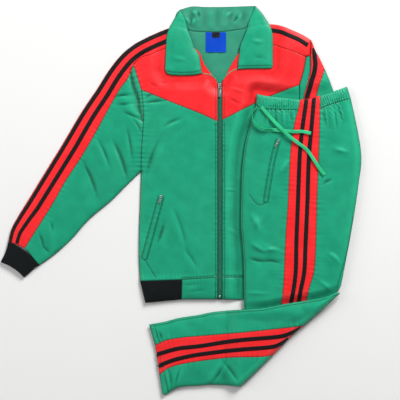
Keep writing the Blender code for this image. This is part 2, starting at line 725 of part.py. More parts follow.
def gathered(height, low_line, fade=12.0):
    """The trousers' surface with the band's gathers added near the band."""
    low = curve(low_line)[:, :2]

    def made(points):
        away = segments_distance(points, low, closed=False)
        phase = points[:, 0] / GATHER_PITCH
        return height(points) + GATHER_RISE * (0.5 + 0.5 * np.cos(2 * np.pi * phase)) * smooth(away / fade)

    return made


def stack(name, shape, rest, rise, depth=3.0):
    """The hidden layers of a folded leg as one rounded solid with a lobe for each layer round its edge."""
    shape = anticlockwise(inset(shape, depth))
    flat, triangles, _ = triangulate(shape, grid=60.0)
    border = len(shape)
    floor = rest(flat)
    away = segments_distance(flat, shape)
    low = np.column_stack([flat, floor])
    high = np.column_stack([flat, floor + STACK_INSIDE + rise * smooth(away / 30)])
    rings = []
    for place in (0.5, 1.0, 1.5, 2.0, 2.5):
        out = 1.6 if place % 1 == 0.5 else 0.2
        ring = inset(shape, -out)
        rings.append(np.column_stack([ring, rest(ring) + LAYER * place]))
    points = [low, high, *rings]
    count = len(flat)
    faces = [tuple(i + count for i in t) for t in triangles]
    faces += [tuple(t[::-1]) for t in triangles]
    levels = [0] + [2 * count + k * border for k in range(len(rings))] + [count]
    for lower, upper in zip(levels, levels[1:]):
        for i in range(border):
            k = (i + 1) % border
            quad = (lower + i, lower + k, upper + k, upper + i)
            faces.append((quad[0], quad[1], quad[2]))
            faces.append((quad[0], quad[2], quad[3]))
    add_object(name, np.vstack(points), faces, "green_tricot")


def cuff(name, rows, seam_bow, end_bow, ribs_across, rib_rise=RIB_RISE):
    """A flattened rib tube: a ring of points for each row, ribs on top of it and a plain flat underside."""
    wall, steps = 1.5, 2 * ribs_across
    rings = []
    for number, (x0, y0, x1, y1, height) in enumerate(rows):
        a, b = np.array([x0, y0], float), np.array([x1, y1], float)
        way = b - a
        side = np.array([way[1], -way[0]]) / np.linalg.norm(way)
        bow = seam_bow + (end_bow - seam_bow) * number / (len(rows) - 1)
        outer, inner = [], []
        for k in range(steps + 1):
            u = k / steps
            at = a + way * u - side * bow * 4 * u * (1 - u)
            arch = math.sqrt(max(0.0, 1 - (2 * u - 1) ** 2)) ** 0.5
            rib = rib_rise * (0.5 - 0.5 * math.cos(math.pi * k)) if 0 < k < steps else 0.0
            outer.append((at[0], at[1], 2.6 + (height - 2.6) * arch + rib))
            held = min(max(u, wall / np.linalg.norm(way)), 1 - wall / np.linalg.norm(way))
            at = a + way * held - side * bow * 4 * held * (1 - held)
            inner.append((at[0], at[1], 2.6 + (height - 2.6) * arch - 0.9))
        for k in range(steps, -1, -2):
            u = k / steps
            at = a + way * u - side * bow * 4 * u * (1 - u)
            outer.append((at[0], at[1], 0.0))
            held = min(max(u, wall / np.linalg.norm(way)), 1 - wall / np.linalg.norm(way))
            at = a + way * held - side * bow * 4 * held * (1 - held)
            inner.append((at[0], at[1], 1.2))
        rings.append((outer, inner))
    size = len(rings[0][0])
    points = [p for outer, inner in rings for p in outer + inner]
    faces = []
    for row in range(len(rows) - 1):
        here, there = row * 2 * size, (row + 1) * 2 * size
        for k in range(size):
            n = (k + 1) % size
            faces.append((here + k, here + n, there + n, there + k))
            faces.append((here + size + n, here + size + k, there + size + k, there + size + n))
    last = (len(rows) - 1) * 2 * size
    for k in range(size):
        n = (k + 1) % size
        faces.append((n, k, size + k, size + n))
        faces.append((last + k, last + n, last + size + n, last + size + k))
    made = add_object(name, np.array(points, float), faces, "black_rib")
    sort_out(made)


def sort_out(made):
    """Triangles with their faces pointing out."""
    work = bmesh.new()
    work.from_mesh(made.data)
    bmesh.ops.triangulate(work, faces=work.faces)
    bmesh.ops.recalc_face_normals(work, faces=work.faces)
    if work.calc_volume(signed=True) < 0:
        bmesh.ops.reverse_faces(work, faces=work.faces)
    work.to_mesh(made.data)
    work.free()
    made.data.shade_smooth()
    made.data.set_sharp_from_angle(angle=math.radians(50))


def block(work, centre, size, bevel):
    """A box with rounded edges, added to a mesh being built, in mm."""
    verts = bmesh.ops.create_cube(work, size=1.0)["verts"]
    bmesh.ops.scale(work, vec=Vector(size), verts=verts)
    bmesh.ops.translate(work, vec=Vector(centre), verts=verts)
    edges = list({e for v in verts for e in v.link_edges})
    bmesh.ops.bevel(work, geom=edges, offset=bevel, segments=1, profile=0.5, affect="EDGES")


def zip_slider(name, pull_name, x, y, height, way, size):
    """A slider and the tab that hangs on it. way is the direction in which the tab lies, in degrees from +x."""
    ahead = np.array([math.cos(math.radians(way)), math.sin(math.radians(way))])
    behind = np.outer(np.linspace(-SLIDER_SIZE[1] * size, 0, 5), ahead)
    below = np.outer(np.linspace(0.4, 1.0, 7) * TAB_SIZE[1] * size, ahead)
    z = float(np.max(height(behind + [x, y])))
    pivot_height = (SLIDER_SIZE[2] + GAP / size + TAB_SIZE[2] / 2 + 0.3) * size
    tip = float(np.max(height(below + [x, y]))) + TAB_SIZE[2] * size / 2 + TAB_REST
    lean = math.asin(max(-0.4, min(0.15, (z + pivot_height - tip) / (TAB_SIZE[1] * size))))
    work = bmesh.new()
    block(work, (0, SLIDER_SIZE[1] / 2, SLIDER_SIZE[2] / 2), SLIDER_SIZE, 0.8)
    slider = bpy.data.meshes.new(name)
    bmesh.ops.triangulate(work, faces=work.faces)
    work.to_mesh(slider)
    work.free()
    work = bmesh.new()
    block(work, (0, TAB_END - TAB_SIZE[1] / 2, 0), TAB_SIZE, 0.5)
    tab = bpy.data.meshes.new(pull_name)
    bmesh.ops.triangulate(work, faces=work.faces)
    work.to_mesh(tab)
    work.free()
    turn = Matrix.Rotation(math.radians(way + 90), 4, "Z")
    scale = Matrix.Scale(size * MM, 4)
    slider.transform(scale)
    tab.transform(scale)
    for item, material, height, tilt in ((slider, "zip_metal", 0.0, 0.0), (tab, "zip_metal", pivot_height, lean)):
        made = bpy.data.objects.new(item.name, item)
        bpy.context.scene.collection.objects.link(made)
        item.materials.append(finish(material))
        made.matrix_world = (
            Matrix.Translation(Vector((x, y, z + height)) * MM) @ turn @ Matrix.Rotation(tilt, 4, "X")
        )
        item.shade_smooth()
        item.set_sharp_from_angle(angle=math.radians(40))


def ribbon(name, rows, height, material):
    """A flat cord that follows a route: rows of x, y, lift and turn about its own way."""
    rows = np.array(rows, float)
    route = curve(rows, 8.0)
    flat = route[:, :2]
    middle = np.column_stack([flat, height(flat) + route[:, 2]])
    way = np.gradient(middle, axis=0)
    way /= np.linalg.norm(way, axis=1)[:, None]
    points = []
    for at, along, turn in zip(middle, way, route[:, 3]):
        side = np.cross((0, 0, 1), along)
        side /= np.linalg.norm(side)
        up = np.cross(along, side)
        angle = math.radians(turn)
        across = side * math.cos(angle) + up * math.sin(angle)
        over = np.cross(along, across)
        for w, h in ((0.5, 0.5), (-0.5, 0.5), (-0.5, -0.5), (0.5, -0.5)):
            points.append(at + across * w * DRAWSTRING_WIDTH + over * h * DRAWSTRING_THICK)
    faces = [(0, 1, 2, 3)]
    for k in range(len(middle) - 1):
        for i in range(4):
            n = (i + 1) % 4
            faces.append((4 * k + i, 4 * k + n, 4 * k + 4 + n, 4 * k + 4 + i))
    end = 4 * (len(middle) - 1)
    faces.append((end + 3, end + 2, end + 1, end))
    sort_out(add_object(name, np.array(points), faces, material))


def jacket_back():
    flat_panel("jacket_back", outline(
        J["neck_back"], J["shoulder_right"], [(345, 425), (343, 384), (332, 380)], J["armhole_right"],
        J["side_right"], [(311, -206), (-108, -213)], (J["side_left"], -1), (J["armhole_front_left"], -1),
        (J["armhole_yoke_left"], -1), [(-125, 360), (-121, 416)], (J["shoulder_left"], -1),
    ), "green_tricot")
    flat_panel("hem_band_back", outline(
        [(-108, -213), (311, -206)], [(311, -206), (299, -268)], (HEM_LOW_RIGHT, -1),
        [(110, -262), (97, -262)], (HEM_LOW_LEFT, -1), [(-94, -271), (-108, -213)],
    ), "green_tricot")
    flat_panel("sleeve_left_back", outline(
        [(-121, 416), (-125, 360)], J["armhole_yoke_left"], J["armhole_front_left"], J["underarm_left"],
        (J["cuff_green_left"], -1), (J["cuff_red_left"], -1), (J["sleeve_fold_left"], -1),
    ), "green_tricot")
    flat_panel("sleeve_right_back", outline(
        J["sleeve_top_right"], J["sleeve_out_right"], [(414, -184), (324, -184)], (J["fold_right"], -1),
    ), "green_tricot")


def sleeve_left():
    fold = J["shoulder_left"][:-1] + J["sleeve_fold_left"]
    shape = outline(
        J["shoulder_left"], J["sleeve_fold_left"], J["cuff_red_left"], (J["sleeve_seam_left"], -1),
        (J["yoke_top_left"], -1), [(30, 425), (20, 452)],
    )
    columns = [(share, a, b) for share, a, b, _, _ in SLEEVE_TAPES]
    second = [(share, c, d) for share, _, _, c, d in SLEEVE_TAPES]
    tapes = [
        ("sleeve_left_tape_outer", beside(fold, columns), "black_tape"),
        ("sleeve_left_tape_inner", beside(fold, second), "black_tape"),
    ]
    panel("sleeve_left_panel", shape, jacket_height, "red_tricot", tapes, rings=(4.0,))
    shape = outline(
        J["sleeve_seam_left"], J["cuff_green_left"], (J["underarm_left"], -1), (J["armhole_front_left"], -1),
        (J["armhole_yoke_left"], -1),
    )
    panel("sleeve_left_front", shape, jacket_height, "green_tricot")


def fronts():
    panel("yoke_left", outline(
        J["neck_left"], [(97, 312), (97, 210)], (J["yoke_low_left"], -1), (J["armhole_yoke_left"], -1),
        (J["yoke_top_left"], -1),
    ), jacket_height, "red_tricot", rings=())
    panel("yoke_right", outline(
        J["yoke_top_right"], J["armhole_right"], (J["yoke_low_right"], -1), [(110, 214), (110, 315)],
        (J["neck_right"], -1),
    ), jacket_height, "red_tricot", rings=())
    pocket = [("pocket_welt_jacket", band(POCKET_JACKET, POCKET_JACKET_WIDTH), "green_tricot")]
    panel("front_left", outline(
        J["yoke_low_left"], [(97, 210), (97, -203)], (J["hem_band_left"], -1), (J["hem_rib_left"], -1),
        (J["side_left"], -1), (J["armhole_front_left"], -1),
    ), jacket_height, "green_tricot", pocket)
    panel("front_right", outline(
        J["yoke_low_right"], J["side_right"], (J["hem_rib_right"], -1), (J["hem_band_right"], -1),
        [(110, -203), (110, 214)],
    ), jacket_height, "green_tricot", rings=(), grid=50.0, extra=inset(TROUSERS_OUTLINE, -6.0))


def hem_bands():
    panel("hem_band_left", outline(
        J["hem_band_left"], [(97, -203), (97, -262)], [(97, -262), (2, -262)], [(2, -262), (3, -209)],
    ), jacket_height, "green_tricot")
    panel("hem_band_right", outline(
        J["hem_band_right"], [(200, -204), (200, -264)], [(200, -264), (110, -262)], [(110, -262), (110, -203)],
    ), jacket_height, "green_tricot")
    for name, seam, low, end in (
        ("hem_rib_left", J["hem_rib_left"], [(-94, -271), (2, -262)], [(3, -209), (2, -262)]),
        ("hem_rib_right", J["hem_rib_right"], [(200, -264), (299, -268)], [(311, -206), (299, -268)]),
    ):
        start = [low[0], seam[0]]
        shape = outline(seam, end, (low, -1), start)
        rise = RIB_RISE if name.endswith("left") else 0.0
        extra = wave_points(seam, low, RIB_PITCH) if rise else None
        panel(name, shape, jacket_height, "black_rib", rings=(), grid=60.0, extra=extra,
              raised=ribs(RIB_PITCH, rise))


def shoulder_right():
    shape = outline(
        J["shoulder_right"], [(345, 425), (342.5, 384)], [(342.5, 384), (332, 380)],
        (J["yoke_top_right"], -1), [(176, 425), (165, 455)],
    )
    tape = [("shoulder_right_tape", beside(J["shoulder_right"], RIGHT_SHOULDER_TAPE, -1.0), "black_tape")]
    panel("shoulder_right_panel", shape, jacket_height, "red_tricot", tape, rings=(4.0,))
    cap = np.vstack([
        [(332, 380), (342, 383.5)], [(342, 343), (332.5, 302), (324, 266), (321.4, 240)],
        [(314, 240), (315, 307), (326, 345)],
    ])
    panel("sleeve_right_cap", cap, jacket_height_wide, "green_tricot", rings=())


def jacket_height_wide(points):
    """The narrow strip of sleeve cap that shows between the body and the folded sleeve."""
    return SIDE_EDGE_Z + ROUND_RISE * 0.5 * jacket_press(points)


def sleeve_right():
    tape = [("sleeve_right_tape", beside(J["fold_right"], RIGHT_SLEEVE_TAPE), "black_tape")]
    shape = outline(
        J["sleeve_top_right"], J["sleeve_seam_right"], [(355, -184), (324, -184)], (J["fold_right"], -1),
    )
    panel("sleeve_right_panel", shape, right_sleeve_height, "red_tricot", tape, rings=())
    shape = outline(J["sleeve_out_right"], [(414, -184), (355, -184)], (J["sleeve_seam_right"], -1))
    panel("sleeve_right_front", shape, right_sleeve_height, "green_tricot", rings=(), grid=40.0)
    cuff("cuff_left", CUFF_LEFT, CUFF_SEAM_BOW, CUFF_END_BOW, 13)
    cuff("cuff_right", CUFF_RIGHT, 0.0, 0.0, 5, 0.4)


def collar():
    shape = collar_back_outline()
    panel("collar_back", shape, collar_back_height, "green_tricot", rings=())
    for name, leaf in (("collar_leaf_left", LEAF_LEFT_OUTLINE), ("collar_leaf_right", LEAF_RIGHT_OUTLINE)):
        panel(name, leaf, leaf_height(leaf), "green_tricot", rings=(4.0,), grid=24.0)
    flat_panel("neck_label", rectangle(*LABEL), "label_satin", WALL + GAP, 0.8)
    flat_panel("size_tab", rectangle(*SIZE_TAB), "size_tab", WALL + GAP + 0.8 + GAP, 0.6)


def strip(name, x0, x1, stations, height, lift, wall, material):
    """A straight strip of cloth that runs along y under or between the fronts."""
    flat = np.array([(x, y) for y in stations for x in (x0, x1)], float)
    triangles = []
    for k in range(0, 2 * len(stations) - 2, 2):
        triangles += [(k, k + 1, k + 3), (k, k + 3, k + 2)]
    surface = height(flat) + lift(flat)
    top, bottom = np.column_stack([flat, surface]), np.column_stack([flat, surface - wall])
    slab(name, flat, triangles, top, bottom, material)


def front_zip():
    stations = [*ZIP_STATIONS, *np.arange(-185, 260, 20), 262, 270, 278, 285, 291, 297]
    reach = ZIP_TAPE / 2
    strip("zip_tape", ZIP_X - reach, ZIP_X + reach, [*stations, 304, ZIP_TOP_Y], jacket_height,
          lambda points: -WALL - GAP - 0.4 - 1.6 * smooth((points[:, 1] - ZIP_END_Y) / 8), 0.8, "zip_tape")
    reach = COIL_WIDTH / 2
    strip("zip_coil", ZIP_X - reach, ZIP_X + reach, [*stations[1:], 304, 310], jacket_height,
          lambda points: np.full(len(points), -0.3), 2.4, "zip_coil")
    zip_slider("zip_slider", "zip_pull", ZIP_X, 298.0, jacket_height, -90, 1.0)


def pocket_sliders():
    for stem, line, height in (
        ("jacket", POCKET_JACKET, jacket_height), ("trousers", POCKET_TROUSERS, trousers_height),
    ):
        a, b = np.array(line[0], float), np.array(line[1], float)
        way = (b - a) / np.linalg.norm(b - a)
        start = a + way * 3.0
        angle = math.degrees(math.atan2(way[1], way[0]))
        zip_slider(f"pocket_slider_{stem}", f"pocket_pull_{stem}", start[0], start[1],
                   lambda points, height=height: height(points) + TAPE_LIFT + TAPE_WALL + 0.6,
                   angle, POCKET_ZIP_SCALE)


def trousers():
    stack("trousers_layers", stack_outline(TROUSERS_OUTLINE), trousers_rest, 0.0)
    stack("lower_leg_layers", stack_outline(LOWER_OUTLINE), turned_rest, 2.0)
    front = gathered(trousers_height, T["band_low_front"])
    back = gathered(trousers_height, T["band_low_back"])
    panel("waistband_front", outline(
        T["waist_front"], T["side_top_left"], (T["band_low_front"], -1), (T["band_end_front"], -1),
    ), front, "green_tricot", rings=(), grid=60.0,
        extra=wave_points(T["waist_front"], T["band_low_front"], GATHER_PITCH))
    panel("waistband_back", outline(
        T["waist_back"], T["band_end_back"], (T["band_low_back"], -1), (T["side_top_right"], -1),
    ), back, "green_tricot", rings=(), grid=60.0,
        extra=wave_points(T["waist_back"], T["band_low_back"], GATHER_PITCH))
    pocket = [("pocket_welt_trousers", band(POCKET_TROUSERS, POCKET_TROUSERS_WIDTH), "green_tricot")]
    panel("trousers_front", outline(
        T["band_low_front"], T["side_left"], (T["end_front"], -1), (T["front_edge"], -1),
    ), trousers_height, "green_tricot", pocket)
    tapes = [(name, band(line, TAPE_WIDTH), "black_tape") for name, line in SIDE_TAPES.items()]
    panel("trousers_side_panel", outline(
        T["waist_side"], T["side_top_right"], T["side_right"], (T["end_side"], -1), (T["side_left"], -1),
        (T["side_top_left"], -1),
    ), trousers_height, "red_tricot", tapes, rings=())
    panel("trousers_back", outline(
        T["band_low_back"], T["back_edge"], (T["end_back"], -1), (T["side_right"], -1),
    ), trousers_height, "green_tricot")


def lower_leg():
    panel("lower_leg_green_top", outline(
        L["top"], L["fold_top"], (L["seam_top"], -1), L["hem_top"],
    ), lower_height, "green_tricot")
    tapes = [(name, band(line, TAPE_WIDTH), "black_tape") for name, line in LOWER_TAPES.items()]
    panel("lower_leg_side_panel", outline(
        L["seam_top"], L["fold_side"], (L["seam_low"], -1), L["hem_side"],
    ), lower_height, "red_tricot", tapes, rings=())
    panel("lower_leg_green_low", outline(
        L["seam_low"], L["fold_low"], L["low"], L["hem_low"],
    ), lower_height, "green_tricot")


def stack_outline(shape):
    """An outline set back from the turned-over edge, because the outer cloth wraps round it there."""
    kept = segments_distance(shape, FOLD_LINE, closed=False) >= FOLD_R
    first = int(np.flatnonzero(kept & ~np.roll(kept, 1))[0])
    shape = np.roll(shape, -first, axis=0)[np.roll(kept, -first)]
    return np.vstack([shape, curve([tuple(shape[-1]), tuple(shape[0])])[1:-1]])


def build():
    clear_scene()
    jacket_back()
    sleeve_left()
    fronts()
    hem_bands()
    shoulder_right()
    sleeve_right()
    collar()
    front_zip()
    trousers()
    lower_leg()
    pocket_sliders()
    ribbon("drawstring_long", DRAWSTRING_LONG, trousers_height, "drawstring")
    ribbon("drawstring_short", DRAWSTRING_SHORT, trousers_height, "drawstring")


build()
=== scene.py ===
"""A zip tracksuit laid flat and seen from above: the jacket with one sleeve folded down, the trousers folded
lengthwise on its right half with the lower leg turned over to the left.

Sizes are in mm, x to the right and y towards the collar, from the middle of the laid-out set. Every seam is
a named line, every cut piece is a thin shell between such lines, and one height function for each layer of
cloth carries its rounded edges, its folds laid by hand, its slow unevenness and the puckers along its seams.
"""
import json
import math

import bmesh
import bpy
import numpy as np
from mathutils import Matrix, Vector
from mathutils.geometry import delaunay_2d_cdt


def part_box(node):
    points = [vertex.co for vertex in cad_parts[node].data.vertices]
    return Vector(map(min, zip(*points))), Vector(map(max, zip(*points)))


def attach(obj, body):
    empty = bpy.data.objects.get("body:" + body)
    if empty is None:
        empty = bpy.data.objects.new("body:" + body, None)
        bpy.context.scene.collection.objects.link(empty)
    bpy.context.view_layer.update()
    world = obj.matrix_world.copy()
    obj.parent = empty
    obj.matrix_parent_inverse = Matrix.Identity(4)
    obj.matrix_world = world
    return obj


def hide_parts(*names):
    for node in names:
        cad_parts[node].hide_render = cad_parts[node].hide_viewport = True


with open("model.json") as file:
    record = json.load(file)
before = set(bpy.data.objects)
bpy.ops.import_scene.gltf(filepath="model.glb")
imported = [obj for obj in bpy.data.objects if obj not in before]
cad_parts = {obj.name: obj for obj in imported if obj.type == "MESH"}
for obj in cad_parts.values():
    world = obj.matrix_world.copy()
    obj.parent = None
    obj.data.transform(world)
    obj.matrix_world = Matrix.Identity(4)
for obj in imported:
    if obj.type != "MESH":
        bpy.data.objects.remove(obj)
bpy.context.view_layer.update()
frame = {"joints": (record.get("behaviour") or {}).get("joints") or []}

# A cloth's wall, the gap between layers, and how far apart the points along a seam are
WALL = 1.2
GAP = 0.3
EDGE_STEP = 12.0
# The shells: how far apart their points are, and how far in the rings along their edges lie
SHEET_STEP = 4.0
SHEET_GRID = 4.0
SHEET_RINGS = (0.9, 2.2, 4.4)
SHEET_WALL = 0.9
# Wider grids where hardly anything shows, and a finer one in the neck
BACK_GRID, HIDDEN_GRID, LAYERS_GRID, NECK_GRID = 9.0, 14.0, 26.0, 3.5
# Each seam: the gap, how deep the cloth dips into it and from how far away
SEAM_GAP, SEAM_DIP, SEAM_DIP_REACH = 0.2, 0.8, 1.5
# The lowest that a shell's upper and lower sides come to the floor
LOWEST_TOP, LOWEST = 0.4, 0.02
# Rows of points in an even triangle grid lie this share of its step apart
TRIANGLE_ROWS = 0.87

# Heights of the jacket's front above the floor
SIDE_EDGE_Z = 2.7
HEM_EDGE_Z = 4.6
HEM_FROM_Y = -190.0
ROUND_R = 28.0
ROUND_RISE = 6.0
PUFF_RISE = 4.0
PUFF_R = 75.0
# How far from a layer's edge its largest folds fade out
FOLDS_FADE = 10.0
# How far what lies on the jacket presses it down, and how far round it the cloth lifts again
PRESS_TROUSERS = 0.13
PRESS_COLLAR = 0.4
PRESS_NECK = 0.35
PRESS_MARGIN = 10.0
PRESS_FADE = 30.0
# The trousers' folded stack
REST_Z = 5.3
REST_MARGIN = 20.0
REST_FADE = 34.0
LAYER = 1.2
STACK_EDGE = 5.4
STACK_INSIDE = 3.6
STACK_ROUND, STACK_ROUND_R = 5.0, 20.0
STACK_PUFF, STACK_PUFF_R = 3.0, 60.0
COVER_FADE = 24.0
TURN_Z = 8.6
TURN_FADE = 48.0
FOLD_R = 14.0
FOLD_EDGE_Z = 3.0
# Collar leaves: lift above the jacket, rounded edge and puff
LEAF_WALL = 1.6
LEAF_LIFT = 1.0
LEAF_ROUND, LEAF_ROUND_R = 3.2, 12.0
LEAF_PUFF, LEAF_PUFF_R = 1.5, 30.0
# The backs' upper side above the floor
BACK_TOP = 1.15
# Tapes and ribs
TAPE_WIDTH = 11.0
RIB_WALE = 3.4
RIB_RISE = 0.9
RIB_RISE_PRESSED = 0.5
# Front zip
ZIP_X = 103.5
ZIP_TOP_Y = 312.0
ZIP_END_Y = -262.0
ZIP_OPENING = 13.0
ZIP_SUNK = 1.6
POCKET_ZIP_SCALE = 0.6

# Edges and seams of the jacket: rows of x, y
JACKET = {
    "shoulder_left": [(20, 452), (-13, 461), (-37, 455), (-80, 437), (-121, 416)],
    "sleeve_fold_left": [
        (-121, 416), (-155, 389), (-188, 349), (-222, 296), (-263, 235), (-310, 156), (-351, 89),
        (-405, 1), (-429, -38), (-449, -75), (-457, -109),
    ],
    "yoke_top_left": [(30, 425), (-41, 403), (-78, 387), (-106, 379), (-125, 360)],
    "sleeve_seam_left": [
        (-125, 360), (-141, 322), (-161, 296), (-198, 231), (-229, 174), (-263, 116), (-307, 49),
        (-333, 2), (-374, -64), (-413, -126),
    ],
    "armhole_yoke_left": [(-125, 360), (-113, 322), (-104, 293)],
    "armhole_front_left": [(-104, 293), (-100, 251), (-99, 208), (-104, 134), (-105.5, 76)],
    "underarm_left": [
        (-105.5, 76), (-114, 68.5), (-145, 38.6), (-182, 1.5), (-242, -49), (-286, -99), (-331, -140.5),
        (-374.4, -171.6),
    ],
    "cuff_red_left": [(-457, -109), (-438.6, -115), (-413, -126)],
    "cuff_green_left": [(-413, -126), (-394.6, -147), (-374.4, -171.6)],
    "yoke_low_left": [(-104, 293), (-30, 263), (51, 231), (97, 210)],
    "neck_left": [(30, 425), (49, 394), (64, 362), (79, 339), (91, 325), (97, 312)],
    "side_left": [(-105.5, 76), (-108, 1.5), (-111, -80), (-111, -168), (-108, -213)],
    "hem_rib_left": [(-108, -213), (-50, -211), (3, -209)],
    "hem_band_left": [(3, -209), (50, -206), (97, -203)],
    "shoulder_right": [(165, 455), (183, 460), (235, 467), (267, 463), (294, 452), (321, 440), (345, 425)],
    "yoke_top_right": [(176, 425), (244, 412), (291, 397), (332, 380)],
    "neck_right": [(176, 425), (155, 394), (138, 367), (120, 334), (110, 315)],
    "yoke_low_right": [(110, 214), (196, 258), (240, 278), (315, 307)],
    "armhole_right": [(332, 380), (326, 345), (315, 307)],
    "side_right": [(315, 307), (314, 240), (313, 100), (312, -80), (311, -206)],
    "hem_band_right": [(110, -203), (155, -203), (200, -204)],
    "hem_rib_right": [(200, -204), (255, -205), (311, -206)],
    "fold_right": [
        (346, 425), (343.5, 384), (343, 343), (333.5, 302), (325, 266), (321.5, 187), (321, 1), (324, -184),
    ],
    "sleeve_top_right": [(346, 425), (352.5, 408), (358, 394), (368, 377), (381, 349)],
    "sleeve_out_right": [
        (381, 349), (392, 324), (403, 294), (422, 235), (435, 160), (438, 54), (427, -78), (414, -184),
    ],
    "sleeve_seam_right": [(381, 349), (370, 315), (360, 281), (354, 200), (352, 50), (355, -184)],
    "neck_back": [(20, 452), (42, 448), (103, 447), (152, 453), (165, 455)],
}
HEM_LOW_LEFT = [(-94, -271), (2, -262), (97, -262)]
HEM_LOW_RIGHT = [(110, -262), (200, -264), (299, -268)]
# Left cuff, from the sleeve seam to the open end: x and y of its two sides, and its height
CUFF_LEFT = [
    (-457, -109, -374.4, -171.6, 9.0),
    (-461, -126, -384.0, -176.0, 8.5),
    (-467, -143, -392.0, -184.0, 8.0),
    (-477.5, -163, -415.0, -204.0, 7.5),
]
CUFF_RIGHT = [
    (324.5, -184.5, 413.5, -184.5, 3.4),
    (326, -208, 410, -208, 3.4),
    (327, -232, 408, -232, 3.4),
    (328, -255, 406, -255, 3.4),
]
CUFF_SEAM_BOW = 7.0
CUFF_END_BOW = 5.0
# Collar: rows of x, y
COLLAR_BACK = {
    "top": [(-2, 506), (30, 514.5), (67, 513), (128, 513.5), (197, 516)],
    "right": [(197, 516), (213, 499), (222, 484)],
    "low": [(222, 484), (178, 461), (165, 455)],
    "left": [(20, 452), (-15, 487), (-2, 506)],
}
LEAF_LEFT = {
    "fold": [(-2, 506), (-19, 479), (-31.5, 455), (-38, 437), (-40.3, 396), (-42.7, 347)],
    "corner": [(-42.7, 347), (-41, 339), (-36.6, 335)],
    "low": [(-36.6, 335), (-19, 331), (30, 331), (56.5, 336)],
    "front": [(56.5, 336), (52, 366), (49, 386), (37, 403), (30, 425), (20, 449), (12.5, 479), (-2, 506)],
}
LEAF_RIGHT = {
    "fold": [(197, 516), (213, 499), (231, 472), (240, 455), (244, 432), (244, 354)],
    "corner": [(244, 354), (243, 350.5), (239, 349)],
    "low": [(239, 349), (177, 348), (150, 347)],
    "front": [(150, 347), (150, 357), (155, 393), (157, 410), (164, 428), (174, 453), (179, 474), (197, 516)],
}
LABEL = (66, 393, 120, 446)
SIZE_TAB = (83, 432, 103, 446)

# Edges and seams of the trousers: rows of x, y
TROUSERS = {
    "waist_front": [(201, 283), (220, 278), (267, 273), (316, 267)],
    "waist_side": [(316, 267), (345, 271), (369, 278)],
    "waist_back": [(369, 278), (405, 289), (440, 302)],
    "band_end_front": [(201, 283), (199, 254)],
    "band_end_back": [(440, 302), (450, 271)],
    "band_low_front": [(199, 254), (220, 243), (288, 241), (311, 241)],
    "band_low_back": [(368, 244), (406, 258), (450, 271)],
    "side_top_left": [(316, 267), (311, 241)],
    "side_top_right": [(369, 278), (368, 244)],
    "front_edge": [
        (199, 254), (189.5, 227), (182.6, 200), (173, 166), (166, 126), (161, 76), (159, 1), (158.5, -66),
        (164, -134), (166.5, -201), (167, -296),
    ],
    "front_edge_hidden": [(167, -296), (163, -390), (159, -492)],
    "back_edge": [
        (450, 271), (456, 244), (467, 193), (477, 133), (477.6, 92), (472, 52), (465, 1), (453, -73),
        (440, -144), (424, -226),
    ],
    "side_left": [
        (311, 241), (301, 204), (294, 160), (289, 109), (284, 1), (277.5, -99), (272, -218), (265.5, -282),
    ],
    "side_right": [
        (368, 244), (367, 211), (365, 143), (359.6, 1), (356.7, -117), (351.7, -188), (340, -228),
        (331, -271),
    ],
    "end_front": [(167, -296), (220, -292), (265.5, -282)],
    "end_side": [(265.5, -282), (300, -276), (331, -271)],
    "end_back": [(331, -271), (375, -263), (408, -248), (424, -226)],
}
LOWER_LEG = {
    "top": [
        (-84, -328), (-40, -320), (-6, -311), (51, -302), (85, -295), (166, -287.5), (220, -283.5),
        (267, -274), (332, -263.5), (375, -255.5), (414, -242), (423, -245.5),
    ],
    "fold_top": [(423, -245.5), (384, -282), (328, -331.3)],
    "fold_side": [(328, -331.3), (303, -350), (245, -409.3)],
    "fold_low": [(245, -409.3), (186, -468), (159, -492.7)],
    "low": [(159, -492.7), (118, -489), (71, -488), (51, -490), (-6, -494.6), (-43, -515.8)],
    "hem_low": [(-43, -515.8), (-48, -515.8), (-56.7, -461.5)],
    "hem_side": [(-56.7, -461.5), (-62, -421), (-68.4, -384)],
    "hem_top": [(-68.4, -384), (-74, -364), (-84, -328)],
    "seam_top": [(-68.4, -384), (-40, -370), (11, -361.6), (51, -358.4), (169, -348), (328, -331.3)],
    "seam_low": [
        (-56.7, -461.5), (-36.6, -445), (-6, -434), (51, -424), (132, -414.6), (213, -412.7),
        (245, -409.3),
    ],
}
# Middle lines of the black tapes
SIDE_TAPES = {
    "trousers_tape_front": [
        (333, 280), (330.7, 256), (321, 188), (314.6, 121), (311.4, 41), (306, -99), (302.7, -201),
        (288, -290),
    ],
    "trousers_tape_back": [
        (353, 284), (351, 256), (345, 188), (339, 121), (336, 41), (335, 1), (329.7, -117), (326.5, -187),
        (316, -242), (309, -290),
    ],
}
LOWER_TAPES = {
    "lower_leg_tape_top": [
        (-75, -412), (-53, -404), (-6, -391), (51, -384.6), (152, -369), (254, -360), (290, -351),
        (318, -338),
    ],
    "lower_leg_tape_low": [
        (-70, -444), (-40, -429.4), (-6, -418), (51, -406.6), (152, -394), (237, -387), (266, -378),
        (286, -366),
    ],
}
# Left sleeve tapes, from the neck to the cuff: share of the way, and where each tape begins and ends, from
# the fold
SLEEVE_TAPES = [
    (0.00, 1.0, 12.0, 24.0, 36.0),
    (0.25, 1.0, 12.5, 25.0, 37.0),
    (0.60, 2.4, 13.0, 29.0, 40.5),
    (0.85, 2.6, 13.0, 28.0, 39.0),
    (1.00, 1.0, 9.5, 19.0, 28.0),
]
RIGHT_SHOULDER_TAPE = [(0.0, 11.0, 22.5), (1.0, 10.5, 22.0)]
RIGHT_SLEEVE_TAPE = [(0.03, 3.0, 15.0), (0.10, 7.0, 19.0), (0.17, 2.5, 15.0), (1.0, 2.5, 14.5)]
